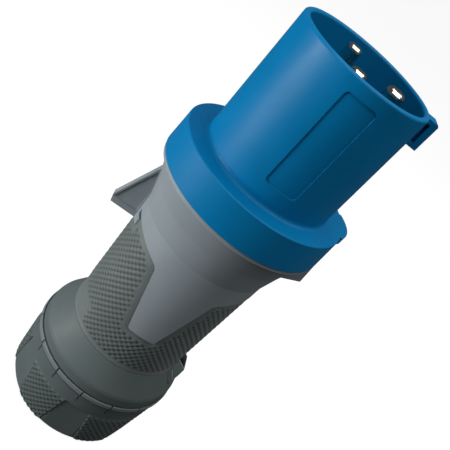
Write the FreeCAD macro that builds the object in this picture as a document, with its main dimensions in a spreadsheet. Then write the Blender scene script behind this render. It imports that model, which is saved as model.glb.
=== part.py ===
"""Industrial pin and sleeve plug, two poles and earth, standing on its gland nut.

Frame: millimetres, +Z along the plug from the cable end to the mouth, +X towards the
key and the earth pin. The origin is the centre of the cable entry in the end face.
"""
import FreeCAD, Part
import Sketcher
import math
import os

doc = FreeCAD.newDocument("pin_and_sleeve_plug")

# Driving sizes in millimetres and degrees
SIZES = [
    # Sleeve, collar and key, one blue moulding
    ("mouth_height", 252.0),
    ("sleeve_radius", 35.5),
    ("sleeve_wall", 3.2),
    ("sleeve_length", 68.0),
    ("rim_round", 1.3),
    ("base_round", 2.0),
    ("collar_radius", 46.3),
    ("collar_length", 17.5),
    ("collar_edge", 0.5),
    ("collar_flare", 0.5),
    ("collar_floor", 6.0),
    ("socket_wall", 3.8),
    ("key_length", 15.0),
    ("key_width", 8.0),
    ("key_height", 6.3),
    ("key_drop", 1.2),
    ("key_edge", 0.8),
    ("key_slot_gap", 0.2),
    ("key_slot_height", 2.8),
    ("key_slot_depth", 3.0),
    ("key_end_wall", 2.2),
    ("lug_height", 3.1),
    ("lug_length", 4.0),
    ("lug_width", 22.4),
    ("lug_round", 20.0),
    ("panel_width", 16.2),
    ("panel_top_gap", 6.6),
    ("panel_length", 51.0),
    ("panel_corner", 2.2),
    ("panel_depth", 0.6),
    # Contacts and their carrier
    ("carrier_recess", 56.0),
    ("flange_thickness", 4.0),
    ("boss_gap", 2.95),
    ("boss_length", 22.0),
    ("carrier_edge", 1.0),
    ("pin_circle", 18.2),
    ("pin_angle", 105.0),
    ("pin_recess", 1.3),
    ("pilot_recess", 14.0),
    ("earth_radius", 5.0),
    ("line_radius", 4.0),
    ("pilot_radius", 3.0),
    ("dome_share", 0.5),
    ("shank_step", 0.6),
    ("shank_drop", 1.0),
    ("barrel_cover", 2.0),
    ("barrel_wall", 2.4),
    ("barrel_length", 40.0),
    ("pilot_barrel_length", 36.0),
    ("wire_bore", 4.6),
    ("pilot_wire_bore", 2.4),
    ("wire_depth", 19.0),
    ("screw_radius", 2.0),
    ("screw_length", 5.4),
    ("screw_slot", 0.8),
    ("screw_bite", 1.0),
    ("first_screw", 4.0),
    ("screw_pitch", 7.0),
    ("plate_thickness", 1.3),
    ("plate_width", 3.4),
    ("plate_length", 12.0),
    ("plate_reach", 4.0),
    ("plate_end_gap", 1.0),
    ("carrier_screw_count", 3.0),
    ("carrier_screw_angle", 60.0),
    ("carrier_screw_radius", 1.5),
    ("carrier_screw_depth", 4.5),
    ("carrier_head_radius", 2.8),
    ("carrier_head_height", 2.0),
    ("carrier_head_edge", 0.6),
    ("gasket_width", 2.4),
    # Rear housing, one light grey moulding
    ("housing_wall", 3.0),
    ("grip_root_drop", 1.0),
    ("inner_grip_drop", 4.0),
    ("inner_cone_rise", 2.0),
    ("inner_spigot_rise", 6.0),
    ("spigot_length", 5.0),
    ("lip_thickness", 2.2),
    ("lip_groove", 0.8),
    ("lip_groove_depth", 1.0),
    ("upper_cone_step", 2.0),
    ("middle_ring_radius", 39.9),
    ("lower_ring_radius", 36.7),
    ("upper_cone_height", 11.8),
    ("lower_cone_height", 13.6),
    ("grip_end_radius", 33.9),
    ("wing_length", 42.7),
    ("wing_drop", 11.1),
    ("wing_reach", 51.2),
    ("wing_tip_length", 4.4),
    ("wing_tip_lean", 1.0),
    ("wing_half_thickness", 2.1),
    ("wing_rim", 1.1),
    ("wing_foot", 0.4),
    ("wing_rear", 3.4),
    ("wing_recess", 0.7),
    ("pad_drop", 0.7),
    ("pad_slope", 2.9),
    ("pad_side", 4.1),
    ("pad_half_width", 10.3),
    ("strip_half_width", 5.6),
    ("fin_reach", 47.4),
    ("fin_length", 13.0),
    ("fin_slope", 4.6),
    ("fin_width", 21.0),
    ("bayonet_count", 3.0),
    ("bayonet_turn", 40.0),
    ("bayonet_rise", 1.2),
    ("bayonet_height", 2.5),
    ("bayonet_reach", 1.3),
    ("bayonet_width", 12.0),
    # Rubber grip
    ("rubber_thickness", 2.2),
    ("window_rise", 0.4),
    ("rubber_drop", 7.1),
    ("window_bottom_rise", 24.9),
    ("window_bottom_width", 15.6),
    ("window_shoulder_drop", 13.6),
    ("window_shoulder_width", 34.0),
    ("window_corner", 2.0),
    ("window_bend", 4.0),
    ("window_flare", 0.3),
    # Gland collar behind the grip
    ("shoulder_slope", 13.9),
    ("shoulder_wall", 5.7),
    ("shoulder_radius", 41.7),
    ("neck_radius", 35.0),
    ("neck_bore", 30.0),
    ("thread_hold", 8.0),
    ("seat_rise", 4.0),
    ("seat_thickness", 2.0),
    ("shoulder_edge", 0.8),
    ("block_radius", 40.2),
    ("block_half_width", 6.3),
    ("block_drop", 3.2),
    ("block_rise", 1.2),
    ("ramp_reach", 35.4),
    ("ramp_half_width", 16.0),
    ("ramp_drop", 8.0),
    ("rib_foot_rise", 4.0),
    ("rib_offset", 13.6),
    ("inner_rib_offset", 5.0),
    ("rib_thickness", 1.3),
    ("rib_rise", 0.4),
    # Index ring and gland nut
    ("ring_gap", 0.8),
    ("ring_thickness", 1.2),
    ("ring_radius", 42.3),
    ("tick_width", 0.7),
    ("tick_depth", 0.6),
    ("tick_count", 15.0),
    ("tick_start", -95.3),
    ("nut_height", 40.0),
    ("nut_top_radius", 41.9),
    ("nut_end_radius", 39.2),
    ("nut_round", 4.5),
    ("nut_top_edge", 0.5),
    ("nut_floor", 5.0),
    ("cable_entry_radius", 20.0),
    ("facet_count", 6.0),
    ("facet_turn", 30.0),
    ("facet_depth", 1.0),
    ("facet_top", 28.5),
    ("facet_top_width", 14.6),
    ("facet_bottom_width", 23.0),
    ("notch_low", 32.3),
    ("notch_high", 38.2),
    ("notch_depth", 0.45),
    # Strain relief inside the nut
    ("claw_count", 12.0),
    ("claw_thickness", 2.6),
    ("claw_slot", 1.6),
    ("claw_tip_radius", 27.4),
    ("claw_tip_height", 8.0),
    ("claw_flange", 4.0),
    ("claw_step", 1.0),
    ("claw_sleeve_height", 39.0),
    ("press_ring_height", 12.0),
    ("press_ring_wall", 2.0),
    ("cable_seal_radius", 16.5),
    ("cable_seal_low", 10.0),
    ("cable_seal_edge", 1.2),
    ("nut_travel", 10.0),
    # Lock slide and its spring
    ("slide_foot_rise", 4.6),
    ("slide_foot_wall", 1.6),
    ("slide_reach", 0.8),
    ("slide_rise", 2.6),
    ("slide_crown", 1.7),
    ("slide_round", 2.0),
    ("slide_travel", 3.0),
    ("post_thickness", 1.1),
    ("post_width", 3.0),
    ("post_reach", 2.4),
    ("spring_width", 2.4),
    ("spring_strip", 0.3),
    ("spring_pair_count", 2.0),
    # Steps that stand for a moulded round
    ("round_step_count", 4.0),
    # How far a cutting shape reaches past the face it cuts, and how deep an added one is rooted
    ("over_cut", 1.0),
    ("root_depth", 1.0),
    # Clearances
    ("fit_gap", 0.15),
    ("skin_gap", 0.1),
    ("thread_gap", 0.3),
    ("running_gap", 0.3),
]

sheet = doc.addObject("Spreadsheet::Sheet", "sizes")
for row, (alias, number) in enumerate(SIZES, start=1):
    sheet.set(f"A{row}", alias)
    sheet.set(f"B{row}", str(number))
    sheet.setAlias(f"B{row}", alias)
doc.recompute()


class Size:
    """A length or angle with its number and the sheet expression that gives it."""

    def __init__(self, value, text):
        self.value = value
        self.text = text

    def __add__(self, other):
        other = as_size(other)
        return Size(self.value + other.value, f"({self.text} + {other.text})")

    def __sub__(self, other):
        other = as_size(other)
        return Size(self.value - other.value, f"({self.text} - {other.text})")

    def __mul__(self, other):
        other = as_size(other)
        return Size(self.value * other.value, f"({self.text} * {other.text})")

    def __truediv__(self, other):
        other = as_size(other)
        return Size(self.value / other.value, f"({self.text} / {other.text})")

    def __neg__(self):
        return Size(-self.value, f"(0 - {self.text})")


def as_size(number):
    """A plain number as a Size."""
    if isinstance(number, Size):
        return number
    return Size(float(number), repr(float(number)))


def size(alias):
    """The driving size of this name, read from the sheet."""
    return Size(float(sheet.get(alias)), f"sizes.{alias}")


def cosine(angle):
    return Size(math.cos(math.radians(angle.value)), f"cos({angle.text} * 1 deg)")


def sine(angle):
    return Size(math.sin(math.radians(angle.value)), f"sin({angle.text} * 1 deg)")


def depth_at(radius, offset):
    """Distance from the YZ plane of a round surface at this distance from the XZ plane."""
    return Size(math.sqrt(radius.value ** 2 - offset.value ** 2),
                f"sqrt({radius.text} ^ 2 - {offset.text} ^ 2)")


def between(low, high, share):
    """The value a share of the way from low to high."""
    return low + (high - low) * share


def rounding(across, up, radius, first, last):
    """Corners of a round about this centre, stepped between two angles in degrees."""
    steps = round(size("round_step_count").value)
    turns = [as_size(first + (last - first) * index / steps) for index in range(steps + 1)]
    return [(across + radius * cosine(turn), up + radius * sine(turn)) for turn in turns]


def plane_of(body, role):
    """The body's own origin plane or axis with this role."""
    return next(part for part in body.Origin.OriginFeatures if part.Role == role)


def bind(item, name, length):
    """Set a property and keep it tied to the sheet."""
    if "." not in name:
        setattr(item, name, length.value)
    item.setExpression(name, length.text)


def new_sketch(body, role, offset=None):
    """A sketch on one of the body's planes, moved along its normal."""
    sketch = body.newObject("Sketcher::SketchObject", f"{body.Name}_sketch")
    sketch.AttachmentSupport = [(plane_of(body, role), "")]
    sketch.MapMode = "FlatFace"
    if offset is not None:
        bind(sketch, "AttachmentOffset.Base.z", offset)
    return sketch


def place_point(sketch, item, end, across, up):
    """Tie one end of a line to its place, given from the sketch's origin."""
    for kind, axis, length in (("DistanceX", -2, across), ("DistanceY", -1, up)):
        if length.text == "0.0":
            sketch.addConstraint(Sketcher.Constraint("PointOnObject", item, end, axis))
            continue
        rule = sketch.addConstraint(Sketcher.Constraint(kind, -1, 1, item, end, length.value))
        sketch.setExpression(f"Constraints[{rule}]", length.text)


def outline(sketch, corners):
    """A closed outline of straight lines through these corners."""
    corners = [(as_size(across), as_size(up)) for across, up in corners]
    points = [FreeCAD.Vector(across.value, up.value, 0) for across, up in corners]
    first = sketch.GeometryCount
    count = len(points)
    for index in range(count):
        end = points[(index + 1) % count]
        sketch.addGeometry(Part.LineSegment(points[index], end), False)
    for index in range(count):
        following = first + (index + 1) % count
        sketch.addConstraint(Sketcher.Constraint("Coincident", first + index, 2, following, 1))
    for index, (across, up) in enumerate(corners):
        place_point(sketch, first + index, 1, across, up)


def circle(sketch, across, up, radius):
    """A full circle with its centre and radius tied to the sheet."""
    across, up, radius = as_size(across), as_size(up), as_size(radius)
    centre = FreeCAD.Vector(across.value, up.value, 0)
    item = sketch.addGeometry(Part.Circle(centre, FreeCAD.Vector(0, 0, 1), radius.value), False)
    place_point(sketch, item, 3, across, up)
    rule = sketch.addConstraint(Sketcher.Constraint("Radius", item, radius.value))
    sketch.setExpression(f"Constraints[{rule}]", radius.text)


def new_body(label):
    body = doc.addObject("PartDesign::Body", label)
    body.Label = label
    return body


def turned(body, corners):
    """A solid of revolution about Z of an outline given as radius and height."""
    sketch = new_sketch(body, "XZ_Plane")
    outline(sketch, corners)
    feature = body.newObject("PartDesign::Revolution", f"{body.Name}_turned")
    feature.Profile = sketch
    feature.ReferenceAxis = (sketch, ["V_Axis"])
    feature.Angle = 360
    doc.recompute()
    return feature


def grooved(body, corners):
    """A groove cut all round the Z axis."""
    sketch = new_sketch(body, "XZ_Plane")
    outline(sketch, corners)
    feature = body.newObject("PartDesign::Groove", f"{body.Name}_groove")
    feature.Profile = sketch
    feature.ReferenceAxis = (sketch, ["V_Axis"])
    feature.Angle = 360
    return must_cut(body, feature)


def must_cut(body, feature):
    """Recompute and make sure that the cut took material away."""
    before = feature.BaseFeature.Shape.Volume
    doc.recompute()
    if not feature.Shape.Volume < before - 1e-3:
        raise RuntimeError(f"{feature.Name} of {body.Name} cuts nothing")
    return feature


def padded(body, sketch, length, both=False, back=False):
    feature = body.newObject("PartDesign::Pad", f"{body.Name}_pad")
    feature.Profile = sketch
    feature.SideType = "Symmetric" if both else "One side"
    feature.Reversed = back
    bind(feature, "Length", length)
    doc.recompute()
    return feature


def pocketed(body, sketch, length, both=False, back=False):
    feature = body.newObject("PartDesign::Pocket", f"{body.Name}_pocket")
    feature.Profile = sketch
    feature.SideType = "Symmetric" if both else "One side"
    feature.Reversed = back
    bind(feature, "Length", length)
    return must_cut(body, feature)


def around(body, feature, count):
    """Copies of one feature evenly round the Z axis."""
    pattern = body.newObject("PartDesign::PolarPattern", f"{body.Name}_round")
    pattern.Originals = [feature]
    pattern.Axis = (plane_of(body, "Z_Axis"), [""])
    pattern.Angle = 360
    pattern.Occurrences = round(count.value)
    pattern.setExpression("Occurrences", count.text)
    body.Tip = pattern
    doc.recompute()
    return pattern


def edges_at(feature, spots, reach=0.2):
    """Names of the round edges at these radii and heights about the Z axis."""
    names = []
    for index, edge in enumerate(feature.Shape.Edges, start=1):
        if not isinstance(edge.Curve, Part.Circle):
            continue
        centre = edge.Curve.Center
        if math.hypot(centre.x, centre.y) > reach:
            continue
        for radius, height in spots:
            same_radius = abs(edge.Curve.Radius - radius.value) < reach
            if same_radius and abs(centre.z - height.value) < reach:
                names.append(f"Edge{index}")
    if not names:
        raise RuntimeError(f"no round edge found on {feature.Name}")
    return names


def edges_across(feature, spots):
    """Names of the edges that run along Y through these places, given as X and Z."""
    names = []
    for index, edge in enumerate(feature.Shape.Edges, start=1):
        box = edge.BoundBox
        if box.XLength > 0.001 or box.ZLength > 0.001:
            continue
        for across, up in spots:
            if abs(box.XMin - across.value) < 0.001 and abs(box.ZMin - up.value) < 0.001:
                names.append(f"Edge{index}")
    if len(names) != len(spots):
        raise RuntimeError(f"{len(names)} of {len(spots)} edges found on {feature.Name}")
    return names


def rounded(body, names, radius):
    """A fillet on named edges of the body's last feature."""
    feature = body.newObject("PartDesign::Fillet", f"{body.Name}_fillet")
    feature.Base = (feature.BaseFeature, names)
    bind(feature, "Radius", radius)
    doc.recompute()
    return feature


def bevelled(body, names, length):
    """A chamfer on named edges of the body's last feature."""
    feature = body.newObject("PartDesign::Chamfer", f"{body.Name}_chamfer")
    feature.Base = (feature.BaseFeature, names)
    bind(feature, "Size", length)
    doc.recompute()
    return feature


def boolean(kind, label, base, tool):
    """A Part cut, fuse or common of two objects under a label of its own."""
    result = doc.addObject(f"Part::{kind}", label)
    result.Label = label
    result.Base = base
    result.Tool = tool
    doc.recompute()
    return result


# Places that more than one piece shares
mouth = size("mouth_height")
collar_front = mouth - size("sleeve_length")
collar_rear = collar_front - size("collar_length")
collar_seat = collar_front - size("collar_floor")
sleeve_bore = size("sleeve_radius") - size("sleeve_wall")
carrier_face = mouth - size("carrier_recess")
flange_low = collar_seat - size("flange_thickness")
boss_low = flange_low - size("boss_length")
barrel_top = collar_seat - size("barrel_cover")
shank_top = carrier_face - size("shank_drop")
lip_low = collar_rear - size("lip_thickness")
cone_top = lip_low - size("lip_groove")
middle_ring = cone_top - size("upper_cone_height")
lower_ring = middle_ring - size("lower_cone_height")
spigot_top = collar_rear + size("spigot_length")
socket_radius = size("collar_radius") - size("socket_wall")
spigot_radius = socket_radius - size("fit_gap")
seal_outer = spigot_radius - size("skin_gap")
seal_inner = seal_outer - size("gasket_width")
screw_circle = seal_inner - size("running_gap") - size("carrier_head_radius")
boss_radius = screw_circle - size("carrier_head_radius") - size("boss_gap")
bayonet_low = collar_rear + size("bayonet_rise")
collar_wall = size("nut_height") + size("ring_gap") + size("ring_thickness")
shoulder_height = collar_wall + size("shoulder_wall")
seat_height = collar_wall + size("seat_rise")
grip_end = shoulder_height + size("shoulder_slope")
housing_end_radius = size("grip_end_radius") - size("rubber_thickness")
nut_thread = size("neck_radius") + size("thread_gap")
neck_end = size("nut_height") - size("nut_travel") - size("thread_hold")
rubber_top = lower_ring - size("rubber_drop")
window_bottom = grip_end + size("window_bottom_rise")
window_shoulder = lower_ring - size("window_shoulder_drop")
wing_low = lip_low - size("wing_length")
wing_high = lip_low - size("wing_drop")
pad_low = wing_low - size("pad_drop")
pad_corner = pad_low + size("pad_slope")
pad_high = pad_corner + size("pad_side")
block_knee = grip_end - size("block_drop")
block_top = grip_end + size("block_rise")
ramp_knee = grip_end - size("ramp_drop")
rib_foot = shoulder_height + size("rib_foot_rise")
over_rubber = size("grip_end_radius") + size("running_gap")
slide_foot = shoulder_height + size("slide_foot_rise")
channel_half = size("inner_rib_offset") - size("rib_thickness") / 2
channel_floor = over_rubber
post_top = grip_end - size("running_gap")
post_low = post_top - size("post_thickness")
spring_low = slide_foot + size("slide_foot_wall")
outside = size("collar_radius") * 2


def grip_radius(height):
    """Outer radius of the light grey grip panels at this height."""
    share = (height - grip_end) / (lower_ring - grip_end)
    return between(size("grip_end_radius"), size("lower_ring_radius"), share)


def front_sleeve():
    """Blue sleeve and collar with the key, the lug and a bare recessed panel."""
    body = new_body("sleeve_moulding")
    radius = size("sleeve_radius")
    rear_radius = size("collar_radius") + size("collar_flare")
    rim = size("rim_round")
    foot = size("base_round")
    edge = size("collar_edge")
    corners = [(sleeve_bore, collar_seat)]
    corners += rounding(sleeve_bore + rim, mouth - rim, rim, 180, 90)
    corners += rounding(radius - rim, mouth - rim, rim, 90, 0)
    corners += rounding(radius + foot, collar_front + foot, foot, 180, 270)
    turned(body, corners + [
        (size("collar_radius") - edge, collar_front),
        (size("collar_radius"), collar_front - edge),
        (rear_radius, collar_rear),
        (socket_radius, collar_rear),
        (socket_radius, collar_seat),
    ])

    # Key beside the earth pin, hollowed by a slot in each flank
    key_top = mouth - size("key_drop")
    key_low = key_top - size("key_length")
    key_out = radius + size("key_height")
    inside_wall = radius - size("sleeve_wall") / 2
    sketch = new_sketch(body, "XZ_Plane")
    outline(sketch, [
        (inside_wall, key_low),
        (inside_wall, key_top),
        (key_out - size("key_edge"), key_top),
        (key_out, key_top - size("key_edge")),
        (key_out, key_low),
    ])
    padded(body, sketch, size("key_width"), both=True)
    half_width = size("key_width") / 2
    for side in (-1, 1):
        slot = new_sketch(body, "XZ_Plane", offset=half_width * -side)
        slot_low = key_low + size("key_end_wall")
        slot_top = key_top - size("key_end_wall")
        slot_in = radius + size("key_slot_gap")
        slot_out = slot_in + size("key_slot_height")
        outline(slot, [
            (slot_in, slot_low),
            (slot_in, slot_top),
            (slot_out, slot_top),
            (slot_out, slot_low),
        ])
        pocketed(body, slot, size("key_slot_depth"), back=(side > 0))

    # Low rounded lug on the collar below the key, level with the collar's front face
    lug = new_body("lug_disc")
    sketch = new_sketch(lug, "XY_Plane", offset=collar_front - size("lug_length"))
    lug_out = size("collar_radius") + size("lug_height")
    circle(sketch, lug_out - size("lug_round"), 0, size("lug_round"))
    padded(lug, sketch, size("lug_length"))
    strip = new_body("lug_strip")
    sketch = new_sketch(strip, "XZ_Plane")
    lug_in = socket_radius + size("socket_wall") / 2
    outline(sketch, [
        (lug_in, collar_rear),
        (outside, collar_rear),
        (outside, mouth),
        (lug_in, mouth),
    ])
    padded(strip, sketch, size("lug_width"), both=True)
    lug_piece = boolean("Common", "collar_lug", lug, strip)

    # Blind holes for the carrier's screws
    holes = new_sketch(body, "XY_Plane", offset=collar_seat)
    angle = size("carrier_screw_angle")
    circle(holes, screw_circle * cosine(angle), screw_circle * sine(angle),
           size("carrier_screw_radius") + size("skin_gap"))
    hole = pocketed(body, holes, size("carrier_screw_depth") + size("fit_gap"), back=True)
    around(body, hole, size("carrier_screw_count"))

    # Ring groove that takes the housing's bayonet lugs
    groove_low = bayonet_low
    groove_out = socket_radius + size("bayonet_reach") + size("fit_gap")
    groove_top = groove_low + size("bayonet_height") + size("fit_gap") * 2
    grooved(body, [
        (socket_radius - size("over_cut"), groove_low),
        (groove_out, groove_low),
        (groove_out, groove_top),
        (socket_radius - size("over_cut"), groove_top),
    ])
    entry = new_sketch(body, "XY_Plane", offset=collar_rear - size("over_cut"))
    entry_half = size("bayonet_width") / 2 + size("fit_gap")
    outline(entry, [
        (socket_radius - size("over_cut") * 4, -entry_half),
        (groove_out, -entry_half),
        (groove_out, entry_half),
        (socket_radius - size("over_cut") * 4, entry_half),
    ])
    entry_cut = pocketed(body, entry, groove_low - collar_rear + size("over_cut") * 2, back=True)
    around(body, entry_cut, size("bayonet_count"))

    # Bare rounded panel, sunk a little into the round of the sleeve
    band = new_body("panel_band")
    band_in = radius - size("panel_depth")
    panel_top = mouth - size("panel_top_gap")
    panel_low = panel_top - size("panel_length")
    turned(band, [
        (band_in, panel_low - size("over_cut")),
        (band_in, panel_top + size("over_cut")),
        (radius + size("over_cut"), panel_top + size("over_cut")),
        (radius + size("over_cut"), panel_low - size("over_cut")),
    ])
    prism = new_body("panel_prism")
    half = size("panel_width") / 2
    face = new_sketch(prism, "XZ_Plane")
    corners = [(-half, panel_low), (half, panel_low), (half, panel_top), (-half, panel_top)]
    outline(face, corners)
    block = padded(prism, face, outside)
    rounded(prism, edges_across(block, corners), size("panel_corner"))
    recess = boolean("Common", "panel_recess", band, prism)
    with_lug = boolean("Fuse", "sleeve_with_lug", body, lug_piece)
    return boolean("Cut", "front_sleeve", with_lug, recess)


def pin_places():
    """Name, angle, shaft radius, tip recess, wire bore and barrel length of each pin."""
    spread = size("pin_angle")
    straight = as_size(0)
    line = (size("line_radius"), size("pin_recess"), size("wire_bore"), size("barrel_length"))
    return [
        ("earth", straight, size("pin_circle"), size("earth_radius"), *line[1:]),
        ("line", spread, size("pin_circle"), *line),
        ("neutral", -spread, size("pin_circle"), *line),
        ("pilot", as_size(180), straight, size("pilot_radius"), size("pilot_recess"),
         size("pilot_wire_bore"), size("pilot_barrel_length")),
    ]


def shifted(item, angle, reach, height=None):
    """Place an object at an angle and reach from the plug's axis, turned to face outwards."""
    item.setExpression("Placement.Base.x", (reach * cosine(angle)).text)
    item.setExpression("Placement.Base.y", (reach * sine(angle)).text)
    item.Placement.Rotation = FreeCAD.Rotation(FreeCAD.Vector(0, 0, 1), angle.value)
    item.setExpression("Placement.Rotation.Angle", angle.text)
    if height is not None:
        item.setExpression("Placement.Base.z", height.text)
    doc.recompute()


def contact_pin(name, angle, reach, radius, recess, bore, barrel):
    """Turned pin with a domed tip, and a barrel with a wire bore and screw holes."""
    body = new_body(f"{name}_pin")
    tip = mouth - recess
    barrel_radius = bore + size("barrel_wall")
    barrel_low = barrel_top - barrel
    dome = radius * size("dome_share")
    tip_corners = rounding(radius - dome, tip - dome, dome, 90, 0)
    turned(body, [(0, barrel_low + size("wire_depth")), (0, tip)] + tip_corners + [
        (radius, shank_top),
        (radius + size("shank_step"), shank_top),
        (radius + size("shank_step"), barrel_top),
        (barrel_radius, barrel_top),
        (barrel_radius, barrel_low),
        (bore, barrel_low),
        (bore, barrel_low + size("wire_depth")),
    ])
    screws = screw_heights(barrel_low, reach)
    for height in screws:
        hole = new_sketch(body, "YZ_Plane")
        circle(hole, 0, height, size("screw_radius") + size("skin_gap") / 2)
        pocketed(body, hole, barrel_radius + size("over_cut"), back=True)
    shifted(body, angle, reach)
    return body


def screw_heights(barrel_low, reach):
    """Heights of the clamping screws: two on a main pin, one on the pilot pin."""
    first = barrel_low + size("first_screw")
    if reach.text == "0.0":
        return [first]
    return [first, first + size("screw_pitch")]


def clamp_plate(name, angle, reach, barrel):
    """Pressure plate that lies inside the barrel under the screws' tips."""
    plate = doc.addObject("Part::Box", f"{name}_clamp_plate")
    plate.Label = f"{name}_clamp_plate"
    bind(plate, "Length", size("plate_thickness"))
    bind(plate, "Width", size("plate_width"))
    bind(plate, "Height", size("plate_length"))
    back = size("plate_reach") - size("plate_thickness")
    half = size("plate_width") / 2
    place = reach + back
    plate.setExpression("Placement.Base.x", (place * cosine(angle) + half * sine(angle)).text)
    plate.setExpression("Placement.Base.y", (place * sine(angle) - half * cosine(angle)).text)
    plate.setExpression("Placement.Base.z", (barrel_top - barrel + size("plate_end_gap")).text)
    plate.Placement.Rotation = FreeCAD.Rotation(FreeCAD.Vector(0, 0, 1), angle.value)
    plate.setExpression("Placement.Rotation.Angle", angle.text)
    doc.recompute()
    return plate


def clamp_screws(name, angle, reach, bore, barrel):
    """Slotted screws that reach through the barrel's wall, pointing outwards."""
    parts = []
    inner = size("plate_reach") if reach.text != "0.0" else bore - size("screw_bite")
    for index, height in enumerate(screw_heights(barrel_top - barrel, reach)):
        body = new_body(f"{name}_screw_{index + 1}")
        shank = new_sketch(body, "YZ_Plane", offset=inner)
        circle(shank, 0, height, size("screw_radius"))
        padded(body, shank, size("screw_length"))
        slot = new_sketch(body, "YZ_Plane", offset=inner + size("screw_length"))
        half = size("screw_slot") / 2
        side = size("screw_radius") + size("over_cut")
        outline(slot, [
            (-side, height - half),
            (side, height - half),
            (side, height + half),
            (-side, height + half),
        ])
        pocketed(body, slot, size("screw_slot"))
        shifted(body, angle, reach)
        parts.append(body)
    label = f"{name}_clamp_screws" if len(parts) > 1 else f"{name}_clamp_screw"
    group = doc.addObject("Part::Compound", label)
    group.Label = label
    group.Links = parts
    doc.recompute()
    return group


def pin_carrier():
    """Insulating block that holds the four pins and is screwed into the sleeve."""
    body = new_body("pin_carrier")
    flange = socket_radius - size("fit_gap")
    plug = sleeve_bore - size("fit_gap")
    base = turned(body, [
        (0, boss_low),
        (0, carrier_face),
        (plug, carrier_face),
        (plug, collar_seat),
        (flange, collar_seat),
        (flange, flange_low),
        (boss_radius, flange_low),
        (boss_radius, boss_low),
    ])
    corners = [(plug, carrier_face), (boss_radius, boss_low)]
    bevelled(body, edges_at(base, corners), size("carrier_edge"))
    for name, angle, reach, radius, recess, bore, barrel in pin_places():
        across = reach * cosine(angle)
        up = reach * sine(angle)
        shaft = new_sketch(body, "XY_Plane", offset=carrier_face)
        circle(shaft, across, up, radius + size("shank_step") + size("skin_gap"))
        pocketed(body, shaft, carrier_face - barrel_top + size("over_cut"))
        seat = new_sketch(body, "XY_Plane", offset=boss_low)
        circle(seat, across, up, bore + size("barrel_wall") + size("skin_gap"))
        pocketed(body, seat, barrel_top - boss_low, back=True)
    holes = new_sketch(body, "XY_Plane", offset=flange_low)
    angle = size("carrier_screw_angle")
    circle(holes, screw_circle * cosine(angle), screw_circle * sine(angle),
           size("carrier_screw_radius") + size("skin_gap"))
    hole = pocketed(body, holes, size("flange_thickness"), back=True)
    around(body, hole, size("carrier_screw_count"))
    return body


def carrier_screws():
    """Three pan head screws under the carrier's flange."""
    parts = []
    count = size("carrier_screw_count")
    for index in range(round(count.value)):
        body = new_body(f"carrier_screw_{index + 1}")
        shank_top = collar_seat + size("carrier_screw_depth")
        head_low = flange_low - size("carrier_head_height")
        base = turned(body, [
            (0, head_low),
            (0, shank_top),
            (size("carrier_screw_radius"), shank_top),
            (size("carrier_screw_radius"), flange_low),
            (size("carrier_head_radius"), flange_low),
            (size("carrier_head_radius"), head_low),
        ])
        head_edge = edges_at(base, [(size("carrier_head_radius"), head_low)])
        bevelled(body, head_edge, size("carrier_head_edge"))
        turn = size("carrier_screw_angle") + as_size(360 * index) / count
        shifted(body, turn, screw_circle)
        parts.append(body)
    group = doc.addObject("Part::Compound", "carrier_screws")
    group.Label = "carrier_screws"
    group.Links = parts
    doc.recompute()
    return group


def grip_windows(label):
    """Prism whose outline, seen from the side, is the light grey part of the grip."""
    prism = new_body(label)
    low = window_bottom
    low_half = size("window_bottom_width") / 2
    shoulder = window_shoulder
    shoulder_half = size("window_shoulder_width") / 2
    far = size("collar_radius")
    far_height = rubber_top + (far - size("lower_ring_radius")) * size("window_flare")
    above = lower_ring + size("over_cut") * 2
    low_corners = [(-low_half, low), (low_half, low)]
    bends = [(-shoulder_half, shoulder), (shoulder_half, shoulder)]
    sketch = new_sketch(prism, "XZ_Plane")
    outline(sketch, [
        low_corners[0],
        low_corners[1],
        bends[1],
        (far, far_height),
        (far, above),
        (-far, above),
        (-far, far_height),
        bends[0],
    ])
    block = padded(prism, sketch, outside, both=True)
    rounded(prism, edges_across(block, low_corners), size("window_corner"))
    rounded(prism, edges_across(prism.Tip, bends), size("window_bend"))
    return prism


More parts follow.
